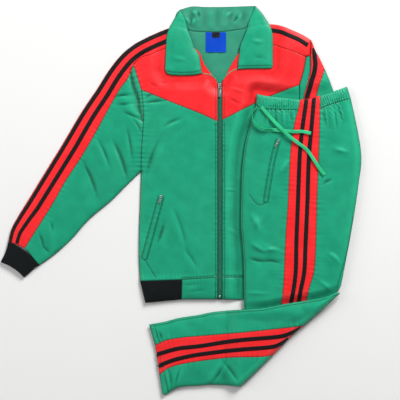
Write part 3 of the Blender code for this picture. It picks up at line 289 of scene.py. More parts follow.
# Pocket zips: the way each one runs, from its slider down
POCKET_JACKET = [(-52, 10), (-75, -75), (-97, -154)]
POCKET_TROUSERS = [(258, 158), (254, 150), (240, 92), (224, -4)]
POCKET_JACKET_WIDTH = 12.0
POCKET_TROUSERS_WIDTH = 8.0
# Drawstring ends, from the hole in the band to the tip: x, y, lift above the cloth, and turn of the flat cord
DRAWSTRING_WIDTH = 9.0
DRAWSTRING_THICK = 1.6
DRAWSTRING_LONG = [
    (212.6, 247, 3.0, 0), (228, 229, 3.2, 0), (251.5, 203.4, 5.6, 0), (265, 190, 6.6, 0), (275, 180, 6.6, 0),
    (287, 169, 6.2, 0), (303.7, 156.3, 4.0, 0), (332, 135, 3.0, 0), (346, 116, 3.0, 0), (367.6, 83, 3.0, 0),
    (379.5, 68, 3.0, 0),
]
DRAWSTRING_SHORT = [
    (200.5, 247, 6.8, 80), (189.5, 232, 6.8, 84), (189.5, 215.4, 6.8, 84), (197.2, 201.3, 6.8, 84),
    (213.6, 190.4, 6.8, 80), (235, 187, 5.0, 40), (252, 186, 3.2, 4), (275, 183.6, 3.0, 0),
    (299, 182, 3.0, 0),
    (322.5, 182, 3.0, 0), (343.7, 177.5, 3.0, 0),
]
# The largest folds of each layer: x and y of both ends, half-width, and rise (a trough is negative)
JACKET_FOLDS = [
    (-132, 340, -105, 215, 11, -3.6),
    (-118, 330, -92, 210, 10, 2.2),
    (-148, 268, -112, 208, 12, 2.6),
    (-160, 155, -148, 62, 16, -2.4),
    (-222, 160, -194, 88, 16, 2.2),
    (-260, 94, -228, 15, 18, -2.4),
    (-347, -56, -330, -150, 14, 2.0),
    (-43, 193, 2, 213, 14, 2.2),
    (-45, 165, -84, 60, 20, 2.2),
    (-24, -25, 38, -178, 22, 2.4),
    (-48, -60, -64, -112, 16, -2.0),
    (118, 33, 158, 33, 10, 2.0),
]
TROUSERS_FOLDS = [
    (379, 243, 388, 198, 9, -2.2),
    (403, 248, 414, 185, 10, 2.2),
    (417, 253, 432, 210, 9, -2.2),
    (406, 139, 440, 131, 12, 2.0),
    (188, -50, 204, -70, 18, 2.2),
    (192, -112, 258, -134, 12, 2.2),
    (188, -160, 262, -166, 12, -2.0),
    (388, -143, 418, -168, 14, 2.2),
    (281, 109, 260, 78, 12, 2.0),
]
LOWER_LEG_FOLDS = [
    (-36, -450, -28, -496, 9, 2.6),
    (0, -444, -14, -488, 10, 2.6),
    (71, -486, 110, -432, 14, 3.0),
    (110, -432, 150, -484, 14, 2.4),
    (-76, -344, -62, -376, 9, 2.0),
]
# Colours as seen, in sRGB hex
# The _SHADE colours are painted shade in seams, along stitch lines and in the hollows of folds
GREEN, GREEN_SHADE, GREEN_LIGHT = 0x179A74, 0x065A40, 0x1DA67E
# Painted highlight on the crests of folds
GREEN_CREST_HIGHLIGHT, RED_CREST_HIGHLIGHT = 0x28BE90, 0xFF4448
GREEN_INSIDE, GREEN_INSIDE_LIGHT = 0x2C9073, 0x3A9A7C
RED, RED_SHADE, RED_LIGHT = 0xFA2428, 0xB80E16, 0xFF2E33
# The tape's second and third colours are painted highlight on its cross ribs and along its selvedges
TAPE_BLACK, TAPE_RIB_HIGHLIGHT, TAPE_SELVEDGE_HIGHLIGHT = 0x080709, 0x171416, 0x3A1418
RIB_BLACK, RIB_LIGHT = 0x0B0F10, 0x171C1D
# The zip tape's second green is painted highlight on its cross ribs
ZIP_GREEN, ZIP_RIB_HIGHLIGHT, COIL_GREEN = 0x0C5B45, 0x11684F, 0x2E7D66
NICKEL = 0xC9CBCC
# The second colours of the label and the size tab are painted highlight along their curling edges
LABEL_BLUE, LABEL_CURL_HIGHLIGHT = 0x0648C8, 0x1556D2
TAB_BLACK, TAB_CURL_HIGHLIGHT = 0x15181D, 0x2A2E36
# The cord's second green is painted highlight on its cross ribs
CORD_GREEN, CORD_RIB_HIGHLIGHT, CORD_EDGE = 0x18AC6E, 0x20BC7C, 0x38CC8E
THREAD_GREEN, THREAD_RED, THREAD_BLACK = 0x1FA074, 0xFF4A50, 0x1C1A1C
FLOOR, FLOOR_LIGHT, STUDIO_WHITE = 0xF4F4F3, 0xF8F8F7, 0xFFFFFF
# Creases of the collar and its leaves: rows as in the jacket's table below, with the whole length given
COLLAR_CREASES = [
    (30, 505, 38, 486, 4.5, 3.52, 2), (38, 486, 30, 460, 4.5, 3.52, -2), (44, 504, 47, 481, 4, -3.08, 1),
    (10, 486, 24, 463, 4.5, 2.86, 2), (136, 504, 115, 479, 4.5, 3.3, -2), (152, 494, 136, 471, 4.5, -2.86, 2),
    (162, 500, 141, 468, 4, 3.08, 2),
]
LEAF_CREASES = [
    (-29, 378, 22, 366, 6.3, 1.76, 3), (177, 428, 226, 420, 6.3, 1.98, -3),
    (184, 380, 232, 372, 7.2, -1.32, 2),
]
LEAF_PUCKERS = [
    ([(-36, 343), (-19, 338), (30, 338), (54, 343)], 7.0, 0.35, 8.0),
    ([(240, 356), (177, 355), (152, 354)], 7.0, 0.35, 8.0),
]
# Camera and light, in metres and watts
CAMERA_X, CAMERA_Y, CAMERA_HEIGHT = 0.0509, 0.0015, 6.0
PICTURE_WIDTH = 1.06
FILM_MM = 36.0
FLOOR_SIZE, FLOOR_GAP = 8.0, 0.0006
WORLD_LIGHT, HORIZON_LIGHT = 0.26, 0.94
LIGHTS = [
    ("window side", (2.1, 3.7, 2.4), (1.8, 1.8), 285),
    ("far side", (-3.6, 0.6, 2.0), (2.4, 2.4), 60),
]
# Puckers along seams: the line, their pitch, their rise, and how far they reach from the line
JACKET_PUCKERS = [
    (JACKET["sleeve_seam_left"], 11.0, 0.88, 12.0),
    (JACKET["yoke_top_left"], 7.0, 1.2, 16.0),
    (JACKET["shoulder_left"] + JACKET["sleeve_fold_left"][1:], 9.0, 0.72, 14.0),
    (JACKET["armhole_yoke_left"] + JACKET["armhole_front_left"][1:], 12.0, 1.12, 14.0),
    (JACKET["yoke_low_left"], 10.0, 0.72, 11.0),
    (JACKET["yoke_low_right"], 10.0, 0.72, 11.0),
    (JACKET["yoke_top_right"], 7.0, 1.2, 14.0),
    (JACKET["shoulder_right"], 8.0, 0.8, 14.0),
    (JACKET["hem_rib_left"] + JACKET["hem_band_left"][1:], 9.0, 0.96, 15.0),
    (JACKET["hem_band_right"], 9.0, 0.96, 15.0),
    ([(97, 210), (97, 0), (97, -262)], 13.0, 0.56, 10.0),
    ([(110, 214), (110, 0), (110, -262)], 13.0, 0.56, 10.0),
    (POCKET_JACKET, 14.0, 0.8, 12.0),
]
RIGHT_SLEEVE_PUCKERS = [
    (JACKET["sleeve_seam_right"], 11.0, 0.96, 12.0),
    (JACKET["sleeve_top_right"], 9.0, 0.8, 12.0),
]
TROUSERS_PUCKERS = [
    (TROUSERS["side_left"], 12.0, 0.8, 12.0),
    (TROUSERS["side_right"], 12.0, 0.8, 12.0),
    (SIDE_TAPES["trousers_tape_front"], 10.0, 0.56, 10.0),
    (SIDE_TAPES["trousers_tape_back"], 10.0, 0.56, 10.0),
    (TROUSERS["band_low_front"], 6.5, 2.08, 22.0),
    (TROUSERS["band_low_back"], 6.5, 2.08, 24.0),
    (POCKET_TROUSERS, 15.0, 0.64, 12.0),
]
LOWER_LEG_PUCKERS = [
    (LOWER_LEG["seam_top"], 11.0, 0.8, 12.0),
    (LOWER_LEG["seam_low"], 11.0, 0.8, 12.0),
    (LOWER_TAPES["lower_leg_tape_top"], 9.0, 0.56, 10.0),
    (LOWER_TAPES["lower_leg_tape_low"], 9.0, 0.56, 10.0),
    (LOWER_LEG["hem_top"] + LOWER_LEG["hem_side"][1:], 10.0, 0.8, 12.0),
]
# Rows of stitches: the line and their shift to one side of it
ZIP_LEFT, ZIP_RIGHT = [(97, 205), (97, 0), (97, -258)], [(110, 208), (110, 0), (110, -258)]
YOKE_ZIP_LEFT, YOKE_ZIP_RIGHT = [(97, 303), (97, 216)], [(110, 303), (110, 220)]
JACKET_STITCHES = [
    (ZIP_LEFT, -5.5), (ZIP_RIGHT, 5.5), (JACKET["hem_band_left"], 4.0), (JACKET["hem_band_right"], 4.0),
    (POCKET_JACKET, 8.0), (POCKET_JACKET, -8.0), ([(-95, -157), (-67, -202)], 0.0),
    (YOKE_ZIP_LEFT, -5.5), (YOKE_ZIP_RIGHT, 5.5),
]
TROUSERS_STITCHES = [
    (POCKET_TROUSERS, 6.5), (POCKET_TROUSERS, -6.5), ([(181, 15), (200, -8), (212, -12), (225, -5)], 0.0),
    (TROUSERS["front_edge"], 5.0), ([(455, -43), (440, -130), (414, -230)], 0.0),
]
LOWER_LEG_STITCHES = [
    (LOWER_LEG["top"], -6.0), ([(-79, -330), (-63, -384)], 9.0), ([(-52, -462), (-42, -508)], 9.0),
]
LEAF_STITCHES = [(LEAF_LEFT["low"], 8.0), (LEAF_RIGHT["low"], -8.0)]
STITCH_DIP, STITCH_HALF = 0.8, 1.5
STITCH_ROWS = (-2.8, -1.3, 0.0, 1.3, 2.8)
JACKET_DRIFT, TROUSERS_DRIFT = 0.8, 0.8
# Creases laid by hand: both ends of the deep stretch, half-width, rise (a trough is negative) and bow to one
# side. One flank is steeper. Each crease fades out beyond its ends, over CREASE_LONGER times its length in all.
CREASE_LONGER = 1.66
JACKET_CREASES = [
    (-174, 272, -132, 277, 4.8, -2.9, 3.2), (-166, 256, -127, 259, 4.8, -2.3, -3.2),
    (-148, 229, -105, 208, 4.8, -3.2, 4.8), (-132, 219, -108, 179, 4, -2.3, 4.8),
    (-222, 158, -193, 89, 6.5, -2.6, 6.4), (-182, 153, -148, 60, 7.3, -3.2, 8),
    (-145, 187, -132, 108, 6.5, -2.3, 4.8), (-259, 94, -227, 15, 6.5, -2.9, 6.4),
    (-347, -57, -341, -81, 4, -2, 3.2), (-376, -89, -366, -123, 4, -2.5, 3.2),
    (-366, -123, -350, -142, 4, -1.9, 3.2), (-132, 343, -121, 288, 5.7, -4.3, -3.2),
    (-121, 288, -111, 240, 5.7, -4.3, 3.2), (-111, 240, -103, 208, 4.8, -3.6, 1.6),
    (-92, 272, -74, 277, 4, -2, 1.6), (-90, 256, -42, 261, 4.8, -2.9, 3.2),
    (-43, 193, 1, 214, 5.7, -2.6, 4.8), (-47, 163, -84, 60, 11.3, -2.6, -12.8),
    (-23, -25, 11, -134, 9.7, -2.3, 9.6), (11, -134, 40, -179, 8.1, -2, 4.8),
    (-47, -59, -63, -110, 7.3, -2, 3.2), (6, -224, 51, -221, 3.2, -1.3, 0),
    (19, -242, 64, -237, 3.2, -1.4, 0), (117, 33, 157, 33, 5.7, -2, 1.6), (120, 23, 146, 23, 4, -2.1, 0),
    (128, -78, 152, -91, 5.7, 2.1, 1.6), (-84, 310, -60, 298, 3.2, -1.7, 1.6),
    (-58, 310, -34, 310, 3.2, -2, 1.6), (-76, 399, -43, 413, 4, -1.9, 3.2),
    (-121, 372, -76, 396, 4.8, -2.3, 3.2), (122, 305, 166, 290, 4, 2.3, -3.2),
    (128, 272, 157, 256, 4, -2.1, -1.6),
]
TROUSERS_CREASES = [
    (380, 243, 387, 200, 3.2, 2.9, 1.6), (401, 248, 411, 187, 4, -2.9, 3.2),
    (417, 253, 430, 214, 3.2, 2.7, 1.6), (231, 235, 228, 198, 3.2, 2.1, 0),
    (250, 237, 252, 192, 3.2, -2.1, 0), (271, 237, 274, 198, 3.2, 2.1, 0),
    (289, 237, 295, 203, 3.2, -2, 0), (408, 139, 440, 130, 4.8, 2.5, -3.2),
    (377, 41, 401, 54, 5.7, -2.3, 3.2), (186, -41, 205, -81, 9.7, 2.9, 4.8),
    (193, -114, 223, -133, 5.7, 2.7, -3.2), (223, -133, 258, -133, 5.7, 2.7, 3.2),
    (185, -152, 220, -160, 4.8, -2.5, -3.2), (220, -160, 263, -165, 4.8, -2.1, 1.6),
    (177, -244, 231, -246, 4.8, 1.8, 0), (281, 109, 260, 78, 6.5, 2.1, 3.2),
    (389, -141, 419, -168, 6.5, 2.7, 4.8), (365, -215, 395, -242, 6.5, 2.3, 4.8),
]
LOWER_LEG_CREASES = [
    (-35, -449, -27, -497, 4.8, -2.6, 3.2), (0, -444, -13, -489, 4.8, -2.9, -3.2),
    (-76, -343, -63, -370, 4, -2, 3.2), (-59, -348, -51, -367, 3.2, -2.3, 1.6),
    (71, -486, 110, -430, 7.3, -2.6, -8), (110, -430, 152, -489, 7.3, -2.6, 6.4),
]


def smooth(share):
    share = np.clip(share, 0.0, 1.0)
    return share * share * (3 - 2 * share)


def curve(rows, step=EDGE_STEP):
    """Points every step or so along a smooth line through rows."""
    rows = np.array(rows, float)
    ends = np.vstack([2 * rows[0] - rows[1], rows, 2 * rows[-1] - rows[-2]])
    dense = []
    for a, b, c, d in zip(ends, ends[1:], ends[2:], ends[3:]):
        for t in np.arange(12) / 12:
            dense.append(
                0.5 * (2 * b + (c - a) * t + (2 * a - 5 * b + 4 * c - d) * t**2
                       + (3 * b - a - 3 * c + d) * t**3)
            )
    dense = np.array([*dense, rows[-1]])
    along = np.concatenate([[0], np.cumsum(np.linalg.norm(np.diff(dense[:, :2], axis=0), axis=1))])
    count = max(1, round(along[-1] / step))
    at = np.linspace(0, along[-1], count + 1)
    return np.stack([np.interp(at, along, dense[:, k]) for k in range(dense.shape[1])], axis=1)


def signed_area(shape):
    ahead = np.roll(shape, -1, axis=0)
    return np.sum(shape[:, 0] * ahead[:, 1] - ahead[:, 0] * shape[:, 1]) / 2


def anticlockwise(shape):
    return shape if signed_area(shape) > 0 else shape[::-1]


def outline(*lines):
    """One closed outline from lines that follow each other. A line given as (rows, -1) runs backwards."""
    points = []
    for item in lines:
        backwards = isinstance(item, tuple) and len(item) == 2 and item[1] == -1
        line = curve(item[0])[::-1] if backwards else curve(item)
        points.extend(line[:-1, :2])
    return np.array(points)


def segments_distance(points, line, closed=True):
    """Each point's distance to a line of straight segments."""
    ends = np.roll(line, -1, axis=0) if closed else line[1:]
    starts = line if closed else line[:-1]
    best = np.full(len(points), 1e9)
    for a, b in zip(starts, ends):
        way = b - a
        share = np.clip(((points - a) @ way) / max(way @ way, 1e-9), 0, 1)
        best = np.minimum(best, np.linalg.norm(points - a - share[:, None] * way, axis=1))
    return best


def inside(points, shape):
    found = np.zeros(len(points), bool)
    for a, b in zip(shape, np.roll(shape, -1, axis=0)):
        crosses = (a[1] > points[:, 1]) != (b[1] > points[:, 1])
        x = a[0] + (points[:, 1] - a[1]) * (b[0] - a[0]) / (b[1] - a[1] if b[1] != a[1] else 1e-9)
        found ^= crosses & (points[:, 0] < x)
    return found


def outside_distance(points, shape):
    """0 inside a closed shape, and the distance to it outside."""
    return np.where(inside(points, shape), 0.0, segments_distance(points, shape))


def inset(shape, depth):
    """A closed shape moved inwards."""
    side = 1.0 if signed_area(shape) > 0 else -1.0
    before = shape - np.roll(shape, 1, axis=0)
    after = np.roll(shape, -1, axis=0) - shape
    before /= np.linalg.norm(before, axis=1)[:, None]
    after /= np.linalg.norm(after, axis=1)[:, None]
    normal_a = side * np.stack([-before[:, 1], before[:, 0]], axis=1)
    normal_b = side * np.stack([-after[:, 1], after[:, 0]], axis=1)
    middle = normal_a + normal_b
    length = np.linalg.norm(middle, axis=1)[:, None]
    middle /= np.maximum(length, 1e-6)
    reach = depth / np.maximum(np.sum(middle * normal_a, axis=1), 0.45)
    return shape + middle * reach[:, None]


def folds_height(points, folds):
    height = np.zeros(len(points))
    for x0, y0, x1, y1, half, rise in folds:
        a, way = np.array([x0, y0], float), np.array([x1 - x0, y1 - y0], float)
        share = ((points - a) @ way) / (way @ way)
        held = np.clip(share, 0, 1)
        away = np.linalg.norm(points - a - held[:, None] * way, axis=1) / half
        height += rise * np.exp(-away * away) * (0.45 + 0.55 * np.sin(np.pi * held))
    return height


J, T, L = JACKET, TROUSERS, LOWER_LEG
BODY_OUTLINE = outline(
    J["shoulder_left"], J["sleeve_fold_left"], [(-457, -109), (-462, -134), (-477.5, -163)],
    [(-477.5, -163), (-442, -183), (-415, -204)], [(-415, -204), (-390, -178), (-374.4, -171.6)],
    (J["underarm_left"], -1), J["side_left"], [(-108, -213), (-94, -271)], HEM_LOW_LEFT,
    [(97, -262), (110, -262)], HEM_LOW_RIGHT, [(299, -268), (311, -206)], (J["side_right"], -1),
    (J["armhole_right"], -1), [(332, 380), (343, 384), (345, 425)], (J["shoulder_right"], -1),
    (J["neck_back"], -1),
)
SLEEVE_RIGHT_OUTLINE = outline(
    J["sleeve_top_right"], J["sleeve_out_right"], [(414, -184), (406, -255)], [(406, -255), (328, -255)],
    [(328, -255), (324, -184)], (J["fold_right"], -1),
)
TROUSERS_OUTLINE = outline(
    T["waist_front"], T["waist_side"], T["waist_back"], T["band_end_back"], T["back_edge"],
    [(424, -226), (423, -245.5)], L["fold_top"], L["fold_side"], L["fold_low"],
    (T["front_edge_hidden"], -1), (T["front_edge"], -1), (T["band_end_front"], -1),
)
LOWER_OUTLINE = outline(
    L["top"], L["fold_top"], L["fold_side"], L["fold_low"], L["low"], L["hem_low"], L["hem_side"], L["hem_top"],
)
FOLD_LINE = np.vstack([curve(L[name])[:, :2] for name in ("fold_top", "fold_side", "fold_low")])
NECK_OPENING = np.vstack([
    curve(J["neck_left"])[:, :2], curve(J["neck_right"])[::-1, :2],
])


def leaf_outline(leaf):
    return outline(leaf["fold"], leaf["corner"], leaf["low"], leaf["front"])


LEAF_LEFT_OUTLINE = leaf_outline(LEAF_LEFT)
LEAF_RIGHT_OUTLINE = leaf_outline(LEAF_RIGHT)


def rounding(distance, radius):
    """0 at an edge, 1 from radius inwards, as a quarter circle."""
    left = 1 - np.clip(distance, 0, radius) / radius
    return np.sqrt(np.maximum(0.0, 1 - left * left))


def jacket_press(points):
    """1 where nothing presses on the jacket, less under the trousers, the collar and at the open neck."""
    press = np.ones(len(points))
    covers = (
        (TROUSERS_OUTLINE, PRESS_TROUSERS), (LEAF_LEFT_OUTLINE, PRESS_COLLAR),
        (LEAF_RIGHT_OUTLINE, PRESS_COLLAR), (NECK_OPENING, PRESS_NECK),
    )
    for shape, least in covers:
        away = outside_distance(points, shape)
        press = np.minimum(press, least + (1 - least) * smooth((away - PRESS_MARGIN) / PRESS_FADE))
    return press


def laid_height(points, shape):
    press = jacket_press(points)
    edge = SIDE_EDGE_Z + (HEM_EDGE_Z - SIDE_EDGE_Z) * smooth((HEM_FROM_Y - points[:, 1]) / 20) * press
    away = segments_distance(points, shape) * inside(points, shape)
    rise = ROUND_RISE * rounding(away, ROUND_R) + PUFF_RISE * smooth(away / PUFF_R)
    rise += folds_height(points, JACKET_FOLDS) * smooth(away / FOLDS_FADE)
    return edge + np.maximum(rise, 0) * press


def jacket_height(points):
    return laid_height(points, BODY_OUTLINE)


def right_sleeve_height(points):
    return laid_height(points, SLEEVE_RIGHT_OUTLINE)


def trousers_rest(points):
    """The surface that the trousers lie on: the jacket, then the floor."""
    away = np.minimum(outside_distance(points, BODY_OUTLINE), outside_distance(points, SLEEVE_RIGHT_OUTLINE))
    return REST_Z * (1 - smooth((away - REST_MARGIN) / REST_FADE))


def turned_cover(points):
    """1 where the turned-over lower leg presses on the upper leg."""
    return 1 - smooth(outside_distance(points, LOWER_OUTLINE) / COVER_FADE)


def trousers_height(points):
    away = segments_distance(points, TROUSERS_OUTLINE) * inside(points, TROUSERS_OUTLINE)
    rise = STACK_ROUND * rounding(away, STACK_ROUND_R) + STACK_PUFF * smooth(away / STACK_PUFF_R)
    rise += folds_height(points, TROUSERS_FOLDS) * smooth(away / FOLDS_FADE)
    press = 1 - 0.95 * turned_cover(points)
    return trousers_rest(points) + STACK_EDGE + np.maximum(rise, 0) * press


def turned_rest(points):
    """The surface that the lower leg lies on: the upper leg, then the floor."""
    away = outside_distance(points, TROUSERS_OUTLINE)
    return (trousers_rest(points) + TURN_Z) * (1 - smooth(away / TURN_FADE))


def lower_height(points):
    within = inside(points, LOWER_OUTLINE)
    away = segments_distance(points, LOWER_OUTLINE) * within
    rise = STACK_ROUND * rounding(away, STACK_ROUND_R) + STACK_PUFF * smooth(away / STACK_PUFF_R)
    rise += folds_height(points, LOWER_LEG_FOLDS) * smooth(away / FOLDS_FADE)
    full = turned_rest(points) + STACK_EDGE + np.maximum(rise, 0)
    turn = rounding(segments_distance(points, FOLD_LINE, closed=False) * within, FOLD_R)
    return FOLD_EDGE_Z + (full - FOLD_EDGE_Z) * turn


def leaf_height(shape):
    def height(points):
        away = segments_distance(points, BODY_OUTLINE)
        within = inside(points, BODY_OUTLINE)
        under = np.where(within, jacket_height(points), SIDE_EDGE_Z * (1 - smooth(away / 30)))
        under = np.maximum(under, WALL + GAP)
        edge = segments_distance(points, shape) * inside(points, shape)
        puff = LEAF_PUFF * smooth(edge / LEAF_PUFF_R)
        return under + WALL + LEAF_LIFT + LEAF_ROUND * rounding(edge, LEAF_ROUND_R) + puff

    return height


def collar_back_outline():
    c = COLLAR_BACK
    return outline(c["top"], c["right"], c["low"], (J["neck_back"], -1), c["left"])


def stack_outline(shape):
    """An outline set back from the turned-over edge, because the outer cloth wraps round it there."""
    kept = segments_distance(shape, FOLD_LINE, closed=False) >= FOLD_R
    first = int(np.flatnonzero(kept & ~np.roll(kept, 1))[0])
    shape = np.roll(shape, -first, axis=0)[np.roll(kept, -first)]
    return np.vstack([shape, curve([tuple(shape[-1]), tuple(shape[0])])[1:-1]])


def linear(value):
    value /= 255.0
    return value / 12.92 if value <= 0.04045 else ((value + 0.055) / 1.055) ** 2.4


def colour(code):
    """An sRGB hex colour as linear red, green, blue and alpha."""
    return (*(linear((code >> shift) & 255) for shift in (16, 8, 0)), 1.0)


def node(tree, kind, settings=(), links=()):
    """Adds a shader node with its settings and its links."""
    made = tree.nodes.new(f"ShaderNode{kind}")
    for key, value in dict(settings).items():
        if isinstance(key, str) and hasattr(made, key):
            setattr(made, key, value)
        else:
            made.inputs[key].default_value = value
    for key, source in dict(links).items():
        tree.links.new(source, made.inputs[key])
    return made


def started(name, settings):
    """A material with its shader's plain settings."""
    made = bpy.data.materials.new(name)
    made.use_nodes = True
    tree = made.node_tree
    shader = tree.nodes["Principled BSDF"]
    for key, value in settings.items():
        shader.inputs[key].default_value = value
    return made, tree, shader


def place(tree):
    """Where a point lies on its cloth, in mm: across and along."""
    found = node(tree, "UVMap", {"uv_map": "cloth"})
    parts = node(tree, "SeparateXYZ", links={0: found.outputs[0]})
    return found.outputs[0], parts.outputs[0], parts.outputs[1]


def stripes(tree, source, pitch, shift=0.0):
    """A wave from -1 to 1 that repeats every pitch mm."""
    turned = node(tree, "Math", {"operation": "MULTIPLY_ADD", 1: 2 * math.pi / pitch, 2: shift}, {0: source})
    return node(tree, "Math", {"operation": "SINE"}, {0: turned.outputs[0]}).outputs[0]


def noise(tree, source, size, detail=2.0):
    """A cloudy value from 0 to 1 with patches about size mm across."""
    return node(tree, "TexNoise", {"Scale": 1 / size, "Detail": detail}, {"Vector": source}).outputs[0]


def ranged(tree, source, low, high, to_low, to_high):
    return node(tree, "MapRange", {1: low, 2: high, 3: to_low, 4: to_high}, {0: source}).outputs[0]


def mixed(tree, share, first, second):
    """Two colours mixed. Each is a hex colour or another node's output."""
    made = node(tree, "Mix", {"data_type": "RGBA"})
    for place_in, value in ((6, first), (7, second)):
        if isinstance(value, int):
            made.inputs[place_in].default_value = colour(value)
        else:
            tree.links.new(value, made.inputs[place_in])
    tree.links.new(share, made.inputs[0])
    return made.outputs[2]


def bumped(tree, shader, height, depth, normal=None):
    made = node(tree, "Bump", {"Strength": 1.0, "Distance": depth / 1000}, {"Height": height})
    if normal:
        tree.links.new(normal, made.inputs["Normal"])
    tree.links.new(made.outputs[0], shader.inputs["Normal"])
    return made.outputs[0]


def tricot(name, base, shade, light, crest_highlight, roughness=0.42, sheen=0.08):
    """Warp-knitted polyester tricot, brushed shiny side out: fine upright wales give it its satin sheen.
    Painted shade darkens it along its seams and stitch lines and in the hollows of its folds, and painted
    highlight lightens the crests of its folds."""
    made, tree, shader = started(name, {
        "Sheen Weight": sheen, "Sheen Roughness": 0.35, "Specular IOR Level": 0.25, "Anisotropic": 0.35,
    })
    where, across, along = place(tree)
    clouds = noise(tree, where, 38.0)
    tone = mixed(tree, ranged(tree, clouds, 0.3, 0.7, 0.0, 1.0), base, light)
    # Painted shade near seams and stitch lines
    seam = node(tree, "Attribute", {"attribute_name": "edge"}).outputs[2]
    seam_shaded = mixed(tree, ranged(tree, seam, 0.2, 2.4, 0.85, 0.0), tone, shade)
    # Painted shade in the hollows of folds, then painted highlight on their crests
    hollow = node(tree, "Attribute", {"attribute_name": "hollow"}).outputs[2]
    folded = mixed(tree, ranged(tree, hollow, 0.1, 1.1, 0.0, 0.7), seam_shaded, shade)
    crest_highlighted = mixed(tree, ranged(tree, hollow, -1.0, -0.1, 0.5, 0.0), folded, crest_highlight)
    tree.links.new(crest_highlighted, shader.inputs["Base Color"])
    grain = noise(tree, where, 9.0, 3.0)
    rough = ranged(tree, grain, 0.3, 0.7, roughness - 0.05, roughness + 0.07)
    tree.links.new(rough, shader.inputs["Roughness"])
    wales = stripes(tree, across, 1.1)
    courses = stripes(tree, along, 0.8)
    knit = node(tree, "Math", {"operation": "MULTIPLY"}, {0: wales, 1: courses}).outputs[0]
    first = bumped(tree, shader, knit, 0.018)
    bumped(tree, shader, noise(tree, where, 5.0, 3.0), 0.22, first)
    return made


def woven(name, base, light, selvedge_highlight, pitch, roughness=0.62):
    """A narrow woven tape with painted highlight on its cross ribs and along its selvedges, which stand a
    little proud.
    """
    made, tree, shader = started(name, {
        "Sheen Weight": 0.04, "Specular IOR Level": 0.2, "Roughness": roughness,
    })
    where, along, across = place(tree)
    ribs = stripes(tree, along, pitch)
    # Painted highlight on the tops of the cross ribs
    tone = mixed(tree, ranged(tree, ribs, -1.0, 1.0, 0.0, 1.0), base, light)
    edge = node(tree, "Attribute", {"attribute_name": "edge"}).outputs[2]
    # Painted highlight along the selvedges
    lit_selvedges = mixed(tree, ranged(tree, edge, 0.3, 0.9, 0.6, 0.0), tone, selvedge_highlight)
    tree.links.new(lit_selvedges, shader.inputs["Base Color"])
    bumped(tree, shader, ribs, 0.06)
    return made


def ribbed(name, base, light):
    """Rib knit of thick black yarn: the ribs are in the form, the stitches only roughen it."""
    made, tree, shader = started(name, {
        "Sheen Weight": 0.06, "Specular IOR Level": 0.15, "Roughness": 0.85,
    })
    where, along, across = place(tree)
    tone = mixed(tree, noise(tree, where, 3.0, 3.0), base, light)
    tree.links.new(tone, shader.inputs["Base Color"])
    bumped(tree, shader, stripes(tree, across, 1.6), 0.12)
    return made


def satin(name, base, light, roughness=0.34):
    """Smooth ribbon with hardly a weave to see, with painted highlight along its edges for the light where it
    curls.
    """
    made, tree, shader = started(name, {
        "Specular IOR Level": 0.25, "Roughness": roughness, "Anisotropic": 0.4,
    })
    where, along, across = place(tree)
    edge = node(tree, "Attribute", {"attribute_name": "edge"}).outputs[2]
    # Painted highlight along the edges, where the ribbon curls
    tone = mixed(tree, ranged(tree, edge, 0.6, 1.6, 1.0, 0.0), base, light)
    tree.links.new(tone, shader.inputs["Base Color"])
    bumped(tree, shader, stripes(tree, along, 0.7), 0.015)
    return made


def moulded(name, base, roughness=0.4):
    """Plain moulded polyester, as in a zip's coil and in sewing thread: one colour with a soft shine."""
    return started(name, {"Base Color": colour(base), "Roughness": roughness, "Specular IOR Level": 0.5})[0]


def plated(name, base):
    """Die-cast zinc with a nickel plating: bright, with fine rub marks that blur its reflections."""
    made, tree, shader = started(name, {"Metallic": 1.0, "Base Color": colour(base)})
    where = node(tree, "TexCoord").outputs["Object"]
    rubbed = noise(tree, where, 0.0016, 4.0)
    tree.links.new(ranged(tree, rubbed, 0.3, 0.7, 0.18, 0.36), shader.inputs["Roughness"])
    return made


def matt(name, base, light):
    """The painted table top under the suit."""
    made, tree, shader = started(name, {"Roughness": 0.9, "Specular IOR Level": 0.2})
    where = node(tree, "TexCoord").outputs["Object"]
    tree.links.new(mixed(tree, noise(tree, where, 0.4), base, light), shader.inputs["Base Color"])
    return made


FINISH = {
    "green_tricot": tricot("green warp-knit tricot", GREEN, GREEN_SHADE, GREEN_LIGHT, GREEN_CREST_HIGHLIGHT),
    "green_inside": tricot(
        "matt back of the green tricot", GREEN_INSIDE, GREEN_SHADE, GREEN_INSIDE_LIGHT, GREEN_CREST_HIGHLIGHT, 0.7, 0.04,
    ),
    "red_tricot": tricot("red warp-knit tricot", RED, RED_SHADE, RED_LIGHT, RED_CREST_HIGHLIGHT),
    "black_tape": woven("black woven side tape", TAPE_BLACK, TAPE_RIB_HIGHLIGHT, TAPE_SELVEDGE_HIGHLIGHT, 1.4),
    "black_rib": ribbed("black rib knit", RIB_BLACK, RIB_LIGHT),
    "zip_tape": woven("green woven zip tape", ZIP_GREEN, ZIP_RIB_HIGHLIGHT, ZIP_GREEN, 1.2),
    "zip_coil": moulded("green moulded zip coil", COIL_GREEN),
    "zip_metal": plated("nickel-plated zinc", NICKEL),
    "label_satin": satin("blue satin ribbon", LABEL_BLUE, LABEL_CURL_HIGHLIGHT),
    "size_tab": satin("black woven satin tab", TAB_BLACK, TAB_CURL_HIGHLIGHT, 0.5),
    "drawstring": woven("green flat-woven cord", CORD_GREEN, CORD_RIB_HIGHLIGHT, CORD_EDGE, 1.8, 0.5),
    "green_thread": moulded("green sewing thread", THREAD_GREEN, 0.5),
    "red_thread": moulded("red sewing thread", THREAD_RED, 0.5),
    "black_thread": moulded("black sewing thread", THREAD_BLACK, 0.5),
    "floor": matt("pale painted table top", FLOOR, FLOOR_LIGHT),
}


